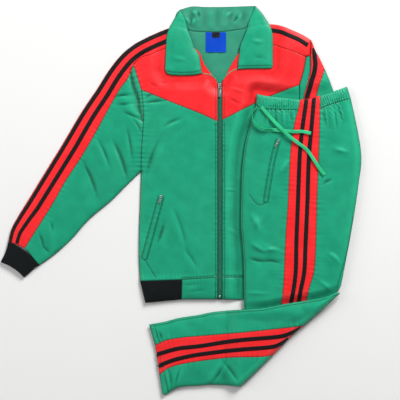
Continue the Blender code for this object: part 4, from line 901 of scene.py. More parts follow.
def along_line(points, line):
    """Each point's distance to a line, and how far along the line its nearest point is."""
    best, at = np.full(len(points), 1e9), np.zeros(len(points))
    start = 0.0
    for a, b in zip(line[:-1], line[1:]):
        way = b - a
        length = np.linalg.norm(way)
        share = np.clip(((points - a) @ way) / length**2, 0, 1)
        away = np.linalg.norm(points - a - share[:, None] * way, axis=1)
        nearer = away < best
        best[nearer] = away[nearer]
        at[nearer] = start + share[nearer] * length
        start += length
    return best, at


def puckers(points, table):
    """Short uneven waves that a seam's thread pulls up on both of its sides."""
    height = np.zeros(len(points))
    for number, (rows, pitch, rise, reach) in enumerate(table):
        line = curve(rows, 20.0)[:, :2]
        low, high = line.min(axis=0) - 3 * reach, line.max(axis=0) + 3 * reach
        near = np.all((points > low) & (points < high), axis=1)
        if not near.any():
            continue
        away, at = along_line(points[near], line)
        phase = at / pitch + 0.45 * np.sin(at / 37 + number) + 0.25 * np.sin(at / 13.3 + 2 * number)
        swell = 0.6 + 0.4 * np.sin(at / 43 + 1.7 * number) * np.sin(at / 19 + number)
        height[near] += rise * swell * np.sin(2 * np.pi * phase) * np.exp(-away / reach) * smooth(away / 1.5)
    return height


def creases(points, table, longer=CREASE_LONGER):
    """Creases as the tables above give them."""
    height = np.zeros(len(points))
    for x0, y0, x1, y1, half, rise, bow in table:
        way = np.array([x1 - x0, y1 - y0], float) * longer
        a = (np.array([x0 + x1, y0 + y1], float) - way) / 2
        length = np.linalg.norm(way)
        share = ((points - a) @ way) / length**2
        across = ((points - a) @ np.array([-way[1], way[0]])) / length
        near = (share > 0) & (share < 1) & (np.abs(across) < 3 * half + abs(bow))
        t = share[near]
        u = (across[near] - 4 * bow * t * (1 - t)) / half
        u = np.where(u < 0, u * 2.0, u)
        height[near] += rise * np.exp(-u * u) * smooth(t / 0.5) * smooth((1 - t) / 0.5)
    return height


def beside(line, shift, step):
    """A line moved to one side, with the direction to that side at each point."""
    fine = curve(line, step)[:, :2]
    across = normals_of(fine)
    return fine + across * shift, across


def grooves(points, rows):
    """Where stitches draw the cloth in."""
    height = np.zeros(len(points))
    for line, shift in rows:
        away, _ = along_line(points, beside(line, shift, 12.0)[0])
        height -= STITCH_DIP * np.exp(-((away / STITCH_HALF) ** 2))
    return height


def drift(points, rise):
    """The slow unevenness of cloth laid by hand."""
    x, y = points[:, 0], points[:, 1]
    slow = np.sin(x / 31 + 1.3 * np.sin(y / 47)) * np.sin(y / 39 + 1.1 * np.sin(x / 53 + 1))
    quick = np.sin((x + 0.6 * y) / 13 + np.sin(y / 21)) * np.sin((y - 0.4 * x) / 17 + np.sin(x / 29))
    return rise * (slow + 0.35 * quick)


def jacket_cloth(points):
    fine = creases(points, JACKET_CREASES) + drift(points, JACKET_DRIFT) + puckers(points, JACKET_PUCKERS)
    return jacket_height(points) + jacket_press(points) * fine + grooves(points, JACKET_STITCHES)


def right_sleeve_cloth(points):
    fine = drift(points, 0.6) + puckers(points, RIGHT_SLEEVE_PUCKERS)
    return right_sleeve_height(points) + jacket_press(points) * fine


def trousers_cloth(points):
    fine = creases(points, TROUSERS_CREASES) + drift(points + 90, TROUSERS_DRIFT)
    fine += puckers(points, TROUSERS_PUCKERS)
    return trousers_height(points) + (1 - turned_cover(points)) * fine + grooves(points, TROUSERS_STITCHES)


def lower_leg_cloth(points):
    fine = creases(points, LOWER_LEG_CREASES) + drift(points - 60, TROUSERS_DRIFT)
    fine += puckers(points, LOWER_LEG_PUCKERS)
    edge = segments_distance(points, FOLD_LINE, closed=False)
    return lower_height(points) + smooth(edge / FOLD_R) * fine + grooves(points, LOWER_LEG_STITCHES)


def dense(shape, step=SHEET_STEP):
    """A closed outline with its points no further apart than step."""
    points = []
    for a, b in zip(shape, np.roll(shape, -1, axis=0)):
        count = max(1, math.ceil(np.linalg.norm(b - a) / step))
        points.extend(a + (b - a) * k / count for k in range(count))
    return np.array(points)


def fill(shape, grid, stitches=()):
    """Triangles over a closed shape: its outline, rings just inside it, close rows of points beside its
    stitch lines and an even grid in the middle."""
    groups = [shape]
    for depth in SHEET_RINGS:
        ring = inset(shape, depth)
        groups.append(ring[inside(ring, shape) & (segments_distance(ring, shape) > depth * 0.85)])
    low, high = shape.min(axis=0), shape.max(axis=0)
    rows = enumerate(np.arange(low[1], high[1], grid * TRIANGLE_ROWS))
    cells = np.array([(x + grid / 2 * (k % 2), y) for k, y in rows for x in np.arange(low[0], high[0], grid)])
    deep = segments_distance(cells, shape) > SHEET_RINGS[-1] + grid * 0.5
    cells = cells[inside(cells, shape) & deep]
    for line, shift in stitches:
        fine, across = beside(line, shift, SHEET_STEP)
        close = np.vstack([fine + across * offset for offset in STITCH_ROWS])
        groups.append(close[inside(close, shape) & (segments_distance(close, shape) > 0.6)])
        if len(cells):
            cells = cells[along_line(cells, fine)[0] > STITCH_ROWS[-1] + 1.5]
    groups.append(cells)
    points = [Vector(p) for group in groups for p in group]
    found = delaunay_2d_cdt(points, [], [list(range(len(shape)))], 1, 1e-4, True)
    flat = np.array([tuple(p) for p in found[0]])
    triangles = np.array([t for t, origin in zip(found[2], found[5]) if 0 in origin and len(t) == 3])
    a, b, c = (flat[triangles[:, k]] for k in range(3))
    turn = (b[:, 0] - a[:, 0]) * (c[:, 1] - a[:, 1]) - (b[:, 1] - a[:, 1]) * (c[:, 0] - a[:, 0])
    triangles = triangles[np.abs(turn) > 1e-5]
    turn = turn[np.abs(turn) > 1e-5]
    triangles[turn < 0] = triangles[turn < 0][:, ::-1]
    return flat, triangles


def hollows(triangles, z, rounds=6):
    """How far each point lies below the cloth round it, in mm."""
    pairs = np.vstack([triangles[:, [0, 1]], triangles[:, [1, 2]], triangles[:, [2, 0]]])
    pairs = np.vstack([pairs, pairs[:, ::-1]])
    count = np.maximum(np.bincount(pairs[:, 0], minlength=len(z)), 1)
    mean = z
    for _ in range(rounds):
        mean = np.bincount(pairs[:, 0], mean[pairs[:, 1]], len(z)) / count
    return mean - z


def add_mesh(name, points, faces, finish, lay=None, edge=None, hollow=None, sharp=40):
    """A named piece from points in mm. lay is each point's place on the cloth in mm, edge its distance to a
    seam and hollow how far it lies below the cloth round it."""
    mesh = bpy.data.meshes.new(name)
    metres = [tuple(p) for p in np.asarray(points, float) / 1000]
    mesh.from_pydata(metres, [], [tuple(map(int, f)) for f in faces])
    made = bpy.data.objects.new(name, mesh)
    bpy.context.scene.collection.objects.link(made)
    mesh.materials.append(FINISH[finish])
    if lay is not None:
        corner = np.zeros(len(mesh.loops), np.int32)
        mesh.loops.foreach_get("vertex_index", corner)
        mesh.uv_layers.new(name="cloth").data.foreach_set("uv", np.asarray(lay, np.float32)[corner].ravel())
    for label_name, values in (("edge", edge), ("hollow", hollow)):
        if values is not None:
            data = mesh.attributes.new(label_name, "FLOAT", "POINT").data
            data.foreach_set("value", np.asarray(values, np.float32))
    mesh.shade_smooth()
    mesh.set_sharp_from_angle(angle=math.radians(sharp))
    return made


def dress(made, finish, *nodes, body="suit"):
    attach(made, body)
    if nodes:
        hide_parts(*nodes)
    return made


def cloth(part, shape, height, finish, grain=0.0, grid=SHEET_GRID, wall=SHEET_WALL, stitches=()):
    """A cut piece as a thin shell on its layer's surface, dipping at its edges into the seams."""
    shape = inset(dense(anticlockwise(shape)), SEAM_GAP / 2)
    flat, triangles = fill(shape, grid, stitches)
    away = segments_distance(flat, shape)
    top = np.maximum(height(flat) - SEAM_DIP * np.exp(-((away / SEAM_DIP_REACH) ** 2)), LOWEST_TOP)
    # The edge attribute also measures the distance to stitch lines, so the tricot's painted shade darkens the
    # cloth along them too
    for line, shift in stitches:
        away = np.minimum(away, along_line(flat, beside(line, shift, SHEET_STEP)[0])[0])
    count = len(flat)
    border = {}
    for a, b, c in triangles:
        for pair in ((a, b), (b, c), (c, a)):
            border[pair] = True
    faces = list(triangles) + [t[::-1] + count for t in triangles]
    for a, b in border:
        if (b, a) not in border:
            faces.append((a, a + count, b + count, b))
    points = np.vstack([np.column_stack([flat, top]), np.column_stack([flat, np.maximum(top - wall, LOWEST)])])
    turn = math.radians(grain)
    lay = flat @ np.array([[math.cos(turn), -math.sin(turn)], [math.sin(turn), math.cos(turn)]])
    # hollow carries the tricot's painted shade in fold hollows and its painted highlight on fold crests; edge
    # carries its painted shade at seams and stitch lines
    made = add_mesh(f"{part}_cloth", points, faces, finish, np.vstack([lay, lay]), np.tile(away, 2),
                    np.tile(hollows(triangles, top), 2))
    dress(made, finish, part)


def strip_solid(name, top, bottom, finish, lay, edge=None):
    """A closed solid from rows of points on its upper and lower sides."""
    rows, columns = top.shape[:2]
    count = rows * columns
    at = np.arange(count).reshape(rows, columns)
    a, b, c, d = at[:-1, :-1], at[1:, :-1], at[1:, 1:], at[:-1, 1:]
    upper = np.stack([a, b, c, d], axis=-1).reshape(-1, 4)
    faces = list(upper) + [f[::-1] + count for f in upper]
    loop = [*at[0, :], *at[1:, -1], *at[-1, -2::-1], *at[-2:0:-1, 0]]
    for p, q in zip(loop, loop[1:] + loop[:1]):
        faces.append((p, q, q + count, p + count))
    points = np.vstack([top.reshape(-1, 3), bottom.reshape(-1, 3)])
    lay = np.tile(np.asarray(lay).reshape(-1, 2), (2, 1))
    edge = None if edge is None else np.tile(np.asarray(edge).ravel(), 2)
    made = add_mesh(name, points, faces, finish, lay, edge)
    signed = np.cross(top[1, 0] - top[0, 0], top[0, 1] - top[0, 0])[2]
    if signed < 0:
        made.data.flip_normals()
    return made


def normals_of(points):
    way = np.gradient(points, axis=0)
    way /= np.linalg.norm(way, axis=1)[:, None]
    return np.stack([-way[:, 1], way[:, 0]], axis=1)


def edges_beside(rows, table, side=1.0):
    """The two edges of a band beside a line, from a table of share of the way, near edge and far edge."""
    points = curve(rows, 3.0)[:, :2]
    share = np.linspace(0, 1, len(points))
    table = np.array(table, float)
    normal = side * normals_of(points)
    near, far = (points + normal * np.interp(share, table[:, 0], table[:, k])[:, None] for k in (1, 2))
    keep = (share >= table[0, 0]) & (share <= table[-1, 0])
    return near[keep], far[keep]


def edges_of(rows, width):
    points = curve(rows, 3.0)[:, :2]
    return points + normals_of(points) * width / 2, points - normals_of(points) * width / 2


TAPE_PROFILE = (
    (0.0, 0.1), (0.05, 0.75), (0.16, 0.95), (0.34, 1.0), (0.5, 0.9), (0.66, 1.0), (0.84, 0.95), (0.95, 0.75),
    (1.0, 0.1),
)


def tape(part, edges, panel, height, finish="black_tape", lift=1.0, wall=0.7):
    """A woven tape or a welt sewn flat on a panel, cut off where the panel ends."""
    near, far = edges
    rows = max(6, int(len(near) * 0.8))
    columns = []
    for share, _ in TAPE_PROFILE:
        line = near + (far - near) * share
        line = line[inside(line, panel)]
        at = np.linspace(0, len(line) - 1, rows)
        columns.append(np.stack([np.interp(at, np.arange(len(line)), line[:, k]) for k in (0, 1)], axis=1))
    flat = np.stack(columns, axis=1)
    rise = np.array([r for _, r in TAPE_PROFILE]) * lift
    z = height(flat.reshape(-1, 2)).reshape(flat.shape[:2]) + 0.15 + rise[None, :]
    width = np.linalg.norm(flat[:, -1] - flat[:, 0], axis=1)
    across = np.array([s for s, _ in TAPE_PROFILE])[None, :] * width[:, None]
    steps = np.linalg.norm(np.diff(flat[:, 4], axis=0), axis=1)
    along = np.tile(np.concatenate([[0], np.cumsum(steps)])[:, None], (1, len(TAPE_PROFILE)))
    top = np.dstack([flat, z])
    bottom = top - [0, 0, wall]
    made = strip_solid(f"{part}_cloth", top, bottom, finish, np.dstack([along, across]),
                       np.minimum(across, width[:, None] - across))
    dress(made, finish, part)


def between(upper, lower, columns, rows):
    """A grid of points from one line to another: columns along them and rows across."""
    first, second = curve(upper, 2.0)[:, :2], curve(lower, 2.0)[:, :2]
    share = np.linspace(0, 1, columns)
    a, b = (
        np.stack([np.interp(share, np.linspace(0, 1, len(line)), line[:, k]) for k in (0, 1)], axis=1)
        for line in (first, second)
    )
    down = np.linspace(0, 1, rows)[:, None, None]
    return a[None] + (b - a)[None] * down, down[:, :, 0], share[None, :]


# The height that bands and cuffs are taken to have on their own cloth
BAND_HEIGHT = 60.0


def wavy_band(part, upper, lower, height, wave, finish, pitch=1.0, rows=22):
    """A ribbed or gathered band between two lines. wave gives its rise from mm along and share across."""
    length = np.linalg.norm(np.diff(curve(upper)[:, :2], axis=0), axis=1).sum()
    flat, down, share = between(upper, lower, max(12, round(length / pitch)), rows)
    along = share * length
    inward = np.minimum(np.minimum(down, 1 - down) * BAND_HEIGHT, np.minimum(along, length - along) + 0 * down)
    dip = SEAM_DIP * np.exp(-((inward / 1.8) ** 2))
    z = height(flat.reshape(-1, 2)).reshape(flat.shape[:2]) + wave(along, down) - dip
    top = np.dstack([flat, z])
    lay = np.dstack([along + 0 * down, down * BAND_HEIGHT + 0 * along])
    made = strip_solid(f"{part}_cloth", top, top - [0, 0, SHEET_WALL], finish, lay, inward)
    dress(made, finish, part)


# Four rings of points to a layer, for the three layers that show at a folded leg's edge
LAYER_RINGS = 12


def layers(part, shape, rest, rise, finish="green_tricot"):
    """The hidden layers of a folded leg: one solid with a soft lobe for each layer round its edge."""
    shape = dense(anticlockwise(inset(anticlockwise(shape), 3.0)), 7.0)
    flat, triangles = fill(shape, LAYERS_GRID)
    border = len(shape)
    away = segments_distance(flat, shape)
    low = np.column_stack([flat, rest(flat)])
    high = np.column_stack([flat, rest(flat) + STACK_INSIDE + rise * smooth(away / 30)])
    at = np.arange(border)
    rings = []
    for level in np.arange(1, LAYER_RINGS) / 4:
        lobe = math.sin(math.pi * (level % 1.0))
        layer = int(level)
        wander = 0.5 + 0.5 * np.sin(at / 5.3 + 2.1 * layer) * np.sin(at / 3.1 + layer)
        out = (-0.2 + 1.8 * lobe * wander)[:, None]
        ring = inset(shape, -1.0) * out + shape * (1 - out)
        rings.append(np.column_stack([ring, rest(ring) + LAYER * level]))
    count = len(flat)
    faces = [tuple(t + count) for t in triangles] + [tuple(t[::-1]) for t in triangles]
    levels = [0] + [2 * count + k * border for k in range(len(rings))] + [count]
    for lower, upper in zip(levels, levels[1:]):
        for i in range(border):
            k = (i + 1) % border
            faces.append((lower + i, lower + k, upper + k, upper + i))
    points = np.vstack([low, high, *rings])
    lay = np.vstack([flat, flat, *(ring[:, :2] for ring in rings)])
    made = add_mesh(f"{part}_cloth", points, faces, finish, lay, np.full(len(points), 30.0), sharp=70)
    dress(made, finish, part)


def rib_tube(part, rows, seam_bow, end_bow, pitch, rise):
    """A flattened rib cuff, open at its end, with its ribs running from the seam to the opening."""
    rows = np.array(rows, float)
    share = np.linspace(0, 1, 18)
    rows = np.stack([np.interp(share, np.linspace(0, 1, len(rows)), rows[:, k]) for k in range(5)], axis=1)
    width = np.linalg.norm(rows[0, 2:4] - rows[0, :2])
    count = round(width / pitch) * 6
    loops, lay = [], []
    for down, (x0, y0, x1, y1, height) in zip(share, rows):
        a, b = np.array([x0, y0]), np.array([x1, y1])
        side = np.array([(b - a)[1], (a - b)[0]]) / np.linalg.norm(b - a)
        bow = seam_bow + (end_bow - seam_bow) * down
        for inner in (0.0, 1.0):
            u = np.concatenate([np.linspace(0, 1, count + 1), np.linspace(1, 0, count // 4 + 1)[1:-1]])
            upper = np.arange(len(u)) <= count
            held = inner * 1.3 / np.linalg.norm(b - a)
            u = np.clip(u, held, 1 - held)
            flat = a + (b - a) * u[:, None] - side * (bow * 4 * u * (1 - u))[:, None]
            arch = np.sqrt(np.maximum(0, 1 - (2 * u - 1) ** 2)) ** 0.5
            wave = rise * (0.5 - 0.5 * np.cos(2 * np.pi * np.arange(len(u)) / 6))
            swell = smooth(np.minimum(down, 1.12 - down) / 0.08)
            top = 2.4 + (height - 2.4) * arch * (0.9 + 0.1 * swell) + wave * (1 - inner) - 1.0 * inner
            z = np.where(upper, top, 0.25 + 0.9 * inner)
            loops.append(np.column_stack([flat, z]))
            lay.append(np.column_stack([u * width, np.full(len(u), down * BAND_HEIGHT)]))
    size = len(loops[0])
    faces = []
    k = np.arange(size)
    n = (k + 1) % size
    for row in range(len(rows) - 1):
        for inner in (0, 1):
            here, there = (2 * row + inner) * size, (2 * row + 2 + inner) * size
            quads = np.stack([here + k, here + n, there + n, there + k], axis=1)
            faces.extend(quads if inner else quads[:, ::-1])
    last = (2 * len(rows) - 2) * size
    faces.extend(np.stack([k, n, size + n, size + k], axis=1))
    faces.extend(np.stack([last + n, last + k, last + size + k, last + size + n], axis=1))
    made = add_mesh(f"{part}_cloth", np.vstack(loops), faces, "black_rib", np.vstack(lay), sharp=70)
    dress(made, "black_rib", part)


def wale(pitch, rise):
    def wave(along, down):
        return rise * (0.5 + 0.5 * np.cos(2 * np.pi * along / pitch)) * (1 + 0 * down)

    return wave


def shirred(along, down):
    """Elastic gathers: uneven upright puckers, held down by the stitch row at the band's lower edge."""
    phase = along / 5.6 + 0.5 * np.sin(along / 17) + 0.3 * np.sin(along / 7.3) + 0.25 * np.sin(9 * down)
    swell = 0.7 + 0.3 * np.sin(along / 23) * np.sin(along / 9 + 3 * down)
    held = 1 - 0.75 * np.exp(-(((down - 0.82) / 0.05) ** 2)) - 0.6 * np.exp(-(((down - 0.1) / 0.05) ** 2))
    return 1.7 * swell * held * (0.5 + 0.5 * np.sin(2 * np.pi * phase))


def flat_cord(part, rows, height, finish="drawstring"):
    """A flat woven cord along a route: rows of x, y, lift above the cloth and turn about its own way."""
    route = curve(np.array(rows, float), 2.5)
    middle = np.column_stack([route[:, :2], height(route[:, :2]) + route[:, 2]])
    way = np.gradient(middle, axis=0)
    way /= np.linalg.norm(way, axis=1)[:, None]
    side = np.cross((0, 0, 1), way)
    side /= np.linalg.norm(side, axis=1)[:, None]
    up = np.cross(way, side)
    angle = np.radians(route[:, 3] + 7 * np.sin(np.arange(len(route)) / 4.5))[:, None]
    across = side * np.cos(angle) + up * np.sin(angle)
    over = np.cross(way, across)
    ring = [(0.5, 0.0), (0.44, 0.42), (0.3, 0.5), (0.0, 0.42), (-0.3, 0.5), (-0.44, 0.42),
            (-0.5, 0.0), (-0.44, -0.42), (-0.3, -0.5), (0.0, -0.42), (0.3, -0.5), (0.44, -0.42)]
    points = np.stack([
        middle + across * w * DRAWSTRING_WIDTH + over * h * DRAWSTRING_THICK for w, h in ring
    ], axis=1)
    size, length = len(ring), len(middle)
    faces = []
    for row in range(length - 1):
        for k in range(size):
            n = (k + 1) % size
            faces.append((row * size + k, row * size + size + k, row * size + size + n, row * size + n))
    faces.append(tuple(range(size)))
    faces.append(tuple(range(length * size - 1, (length - 1) * size - 1, -1)))
    along = np.arange(length) * 2.5
    round_it = np.array([[w * DRAWSTRING_WIDTH for w, _ in ring]])
    lay = np.stack([np.tile(along[:, None], (1, size)), np.tile(round_it, (length, 1))], axis=2)
    made = add_mesh(f"{part}_cord", points.reshape(-1, 3), faces, finish, lay.reshape(-1, 2), sharp=60)
    dress(made, finish, part)
    length = np.linalg.norm(np.diff(middle, axis=0), axis=1).sum()


# One stitch: a point, two triangles round the thread and a point
STITCH_FACES = [
    (0, 2, 1), (0, 3, 2), (0, 1, 3), (1, 2, 5, 4), (2, 3, 6, 5), (3, 1, 4, 6), (7, 4, 5), (7, 5, 6),
    (7, 6, 4),
]


def thread(name, rows, finish, length=2.6, gap=0.9, thick=0.32):
    """Rows of single stitches. Each row is a line, its shift to one side, the surface that it is sewn to, and
    the shares of the line where it starts and ends."""
    points, faces = [], []
    for line, shift, height, least, most in rows:
        fine = curve(line, 1.0)[:, :2]
        fine = fine + normals_of(fine) * shift
        keep = np.linspace(0, 1, len(fine))
        fine = fine[(keep >= least) & (keep <= most)]
        at = np.concatenate([[0], np.cumsum(np.linalg.norm(np.diff(fine, axis=0), axis=1))])
        starts = np.arange(0.5, at[-1] - length, length + gap)
        picks = starts[:, None] + np.array([0.0, 0.25, 0.75, 1.0]) * length
        flat = np.stack([np.interp(picks, at, fine[:, k]) for k in (0, 1)], axis=2)
        z = height(flat.reshape(-1, 2)).reshape(flat.shape[:2])
        for xy, base in zip(flat, z):
            way = xy[-1] - xy[0]
            side = np.array([-way[1], way[0]]) / max(np.linalg.norm(way), 1e-6) * thick
            first = len(points)
            points.append((*xy[0], base[0] - 0.15))
            for k in (1, 2):
                points += [(*(xy[k] + side), base[k] + 0.1), (*xy[k], base[k] + 0.1 + thick),
                           (*(xy[k] - side), base[k] + 0.1)]
            points.append((*xy[3], base[3] - 0.15))
            faces += [tuple(first + k for k in face) for face in STITCH_FACES]
    made = add_mesh(name, points, faces, finish, sharp=80)
    return dress(made, finish)


def zip_teeth(name, x, y0, y1, height, pitch=1.7):
    """The closed coil: short rounded loops from either side that meet in the middle."""
    points, faces = [], []
    centres = np.arange(y0, y1, pitch)
    base = height(np.column_stack([np.full(len(centres), x), centres]))
    for number, (y, z) in enumerate(zip(centres, base)):
        way = 1 if number % 2 else -1
        first = len(points)
        for dx, high in ((-0.5, 0.35), (0.3, 0.75), (1.5, 0.8), (2.35, 0.1)):
            for dy, share in ((-0.62, 0.15), (-0.4, 0.8), (0.0, 1.0), (0.4, 0.8), (0.62, 0.15)):
                points.append((x + way * dx, y + dy, z + high * share))
        for i in range(3):
            for k in range(4):
                a = first + 5 * i + k
                quad = (a, a + 5, a + 6, a + 1)
                faces.append(quad if way > 0 else quad[::-1])
    made = add_mesh(name, points, faces, "zip_coil", sharp=80)
    return dress(made, "zip_coil", "zip_coil")


def rounded_block(work, centre, size, bevel, steps=3):
    verts = bmesh.ops.create_cube(work, size=1.0)["verts"]
    bmesh.ops.scale(work, vec=Vector(size), verts=verts)
    bmesh.ops.translate(work, vec=Vector(centre), verts=verts)
    edges = list({e for v in verts for e in v.link_edges})
    bmesh.ops.bevel(work, geom=edges, offset=bevel, segments=steps, profile=0.5, affect="EDGES")


# A zip's slider and its tab, in mm from the hinge with y along the zip: each rounded block's centre, size
# and edge
SLIDER_BLOCKS = [
    ((0, 6.5, 0.75), (8.6, 12.6, 1.3), 0.6),
    ((0, 6.8, 2.1), (7.0, 11.0, 1.2), 0.55),
    ((0, 6.4, 2.85), (1.9, 8.2, 0.5), 0.22),
    ((0, 1.6, 2.3), (2.6, 1.8, 1.3), 0.4),
]
TAB_BLOCKS = [
    ((-2.75, -3.2, 0), (1.5, 7.0, 1.0), 0.4),
    ((2.75, -3.2, 0), (1.5, 7.0, 1.0), 0.4),
    ((0, 0.1, 0), (6.4, 1.5, 1.0), 0.4),
    ((0, -6.4, 0), (6.4, 1.8, 1.0), 0.4),
    ((0, -15.5, 0), (6.9, 17.5, 1.1), 0.45),
    ((0, -16.0, 0.45), (4.2, 12.5, 0.5), 0.2),
]


def metal(part, blocks, where, size, body):
    """A piece of the zip's metal, from rounded blocks."""
    work = bmesh.new()
    for centre, sides, bevel in blocks:
        rounded_block(work, centre, sides, bevel)
    mesh = bpy.data.meshes.new(part)
    work.to_mesh(mesh)
    work.free()
    mesh.transform(where @ Matrix.Scale(size / 1000, 4))
    made = bpy.data.objects.new(f"{part}_metal", mesh)
    bpy.context.scene.collection.objects.link(made)
    mesh.materials.append(FINISH["zip_metal"])
    mesh.shade_smooth()
    mesh.set_sharp_from_angle(angle=math.radians(35))
    dress(made, "zip_metal", part, body=body)


def slider(part, tab_part, tab_body, size):
    """A zip's slider and the tab that turns on it, placed on their CAD solids."""
    floor_of_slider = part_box(part)[0].z
    tab_low, tab_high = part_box(tab_part)
    pivot = Vector(next(j["pos_m"] for j in frame["joints"] if j["child"] == tab_body))
    way = (tab_low + tab_high) / 2 - pivot
    turn = Matrix.Rotation(math.atan2(way.y, way.x) + math.pi / 2, 4, "Z")
    lean = Matrix.Rotation(-math.atan2(way.z, math.hypot(way.x, way.y)), 4, "X")
    metal(part, SLIDER_BLOCKS, Matrix.Translation((pivot.x, pivot.y, floor_of_slider)) @ turn, size, "suit")
    metal(tab_part, TAB_BLOCKS, Matrix.Translation(pivot) @ turn @ lean, size, tab_body)


def label(part, finish, box, height, thick, wave):
    """A small woven label, sewn at its upper end and slightly curled."""
    x0, y0, x1, y1 = box
    columns, rows = np.linspace(x0, x1, 28), np.linspace(y1, y0, 28)
    x, y = np.meshgrid(columns, rows)
    down = (y1 - y) / (y1 - y0)
    z = height + thick + wave * (np.sin((x - x0) / 9) ** 2 * down + 0.6 * down * down)
    top = np.dstack([x, y, z])
    edge = np.minimum(np.minimum(x - x0, x1 - x), np.minimum(y - y0, y1 - y))
    made = strip_solid(f"{part}_cloth", top, top - [0, 0, thick], finish, np.dstack([x - x0, y - y0]), edge)
    dress(made, finish, part)


def flat_back(points):
    """The backs lie flat on the floor."""
    return np.full(len(points), BACK_TOP) + 0.1 * drift(points, 0.5)


def backs():
    cloth("jacket_back", outline(
        J["neck_back"], J["shoulder_right"], [(345, 425), (343, 384), (332, 380)], J["armhole_right"],
        J["side_right"], [(311, -206), (-108, -213)], (J["side_left"], -1), (J["armhole_front_left"], -1),
        (J["armhole_yoke_left"], -1), [(-125, 360), (-121, 416)], (J["shoulder_left"], -1),
    ), flat_back, "green_inside", grid=BACK_GRID)
    cloth("hem_band_back", outline(
        [(-108, -213), (311, -206)], [(311, -206), (299, -268)], (HEM_LOW_RIGHT, -1),
        [(110, -262), (97, -262)], (HEM_LOW_LEFT, -1), [(-94, -271), (-108, -213)],
    ), flat_back, "green_tricot", grid=HIDDEN_GRID)
    cloth("sleeve_left_back", outline(
        [(-121, 416), (-125, 360)], J["armhole_yoke_left"], J["armhole_front_left"], J["underarm_left"],
        (J["cuff_green_left"], -1), (J["cuff_red_left"], -1), (J["sleeve_fold_left"], -1),
    ), flat_back, "green_tricot", grid=HIDDEN_GRID)
    cloth("sleeve_right_back", outline(
        J["sleeve_top_right"], J["sleeve_out_right"], [(414, -184), (324, -184)], (J["fold_right"], -1),
    ), flat_back, "green_tricot", grid=HIDDEN_GRID)


def sleeve_left():
    fold = J["shoulder_left"][:-1] + J["sleeve_fold_left"]
    panel = outline(
        [(10, 454), *J["shoulder_left"][1:]], J["sleeve_fold_left"], J["cuff_red_left"],
        (J["sleeve_seam_left"], -1), ([(22, 422.5), *J["yoke_top_left"][1:]], -1),
    )
    cloth("sleeve_left_panel", panel, jacket_cloth, "red_tricot", grain=-33)
    outer = [(share, a, b) for share, a, b, _, _ in SLEEVE_TAPES]
    inner = [(share, c, d) for share, _, _, c, d in SLEEVE_TAPES]
    tape("sleeve_left_tape_outer", edges_beside(fold, outer), panel, jacket_cloth)
    tape("sleeve_left_tape_inner", edges_beside(fold, inner), panel, jacket_cloth)
    cloth("sleeve_left_front", outline(
        J["sleeve_seam_left"], J["cuff_green_left"], (J["underarm_left"], -1), (J["armhole_front_left"], -1),
        (J["armhole_yoke_left"], -1),
    ), jacket_cloth, "green_tricot", grain=-33)
    rib_tube("cuff_left", CUFF_LEFT, CUFF_SEAM_BOW, CUFF_END_BOW, RIB_WALE, RIB_RISE)


def fronts():
    cloth("yoke_left", outline(
        [(22, 422.5), (35, 406), (51, 391), (61, 364), (78, 339), (91, 325), (97, 312)],
        [(97, 312), (97, 210)], (J["yoke_low_left"], -1), (J["armhole_yoke_left"], -1),
        ([(22, 422.5), *J["yoke_top_left"][1:]], -1),
    ), jacket_cloth, "red_tricot", stitches=[(YOKE_ZIP_LEFT, -5.5)])
    cloth("yoke_right", outline(
        J["yoke_top_right"], J["armhole_right"], (J["yoke_low_right"], -1), [(110, 214), (110, 315)],
        (J["neck_right"], -1),
    ), jacket_cloth, "red_tricot", stitches=[(YOKE_ZIP_RIGHT, 5.5)])
    left = outline(
        J["yoke_low_left"], [(97, 210), (97, -203)], (J["hem_band_left"], -1), (J["hem_rib_left"], -1),
        (J["side_left"], -1), (J["armhole_front_left"], -1),
    )
    cloth("front_left", left, jacket_cloth, "green_tricot", stitches=JACKET_STITCHES)
    tape("pocket_welt_jacket", edges_of(POCKET_JACKET, POCKET_JACKET_WIDTH), left, jacket_cloth,
         "green_tricot")
    cloth("front_right", outline(
        J["yoke_low_right"], J["side_right"], (J["hem_rib_right"], -1), (J["hem_band_right"], -1),
        [(110, -203), (110, 214)],
    ), jacket_cloth, "green_tricot", stitches=JACKET_STITCHES)


def hem():
    cloth("hem_band_left", outline(
        J["hem_band_left"], [(97, -203), (97, -262)], [(97, -262), (2, -262)], [(2, -262), (3, -209)],
    ), jacket_cloth, "green_tricot", stitches=JACKET_STITCHES)
    cloth("hem_band_right", outline(
        J["hem_band_right"], [(200, -204), (200, -264)], [(200, -264), (110, -262)], [(110, -262), (110, -203)],
    ), jacket_cloth, "green_tricot", stitches=JACKET_STITCHES)
    wavy_band("hem_rib_left", J["hem_rib_left"], [(-94, -271), (2, -262)], jacket_cloth,
              wale(RIB_WALE, RIB_RISE), "black_rib", pitch=RIB_WALE / 6, rows=24)
    wavy_band("hem_rib_right", J["hem_rib_right"], [(200, -264), (299, -268)], jacket_cloth,
              wale(RIB_WALE, RIB_RISE_PRESSED), "black_rib", pitch=RIB_WALE / 4, rows=16)


def shoulder_right():
    panel = outline(
        J["shoulder_right"][1:], [(345, 425), (342.5, 384)], [(342.5, 384), (332, 380)],
        (J["yoke_top_right"], -1), [(176, 425), (184, 459)],
    )
    cloth("shoulder_right_panel", panel, jacket_cloth, "red_tricot", grain=90)
    edges = edges_beside(J["shoulder_right"], RIGHT_SHOULDER_TAPE, -1.0)
    tape("shoulder_right_tape", edges, panel, jacket_cloth)
    cap = np.array([
        (332, 380), (342, 383.5), (342, 343), (332.5, 302), (324, 266), (321.4, 240), (314, 240), (315, 307),
        (326, 345),
    ])

    def cap_height(points):
        return SIDE_EDGE_Z + ROUND_RISE * 0.5 * jacket_press(points)

    cloth("sleeve_right_cap", cap, cap_height, "green_tricot")


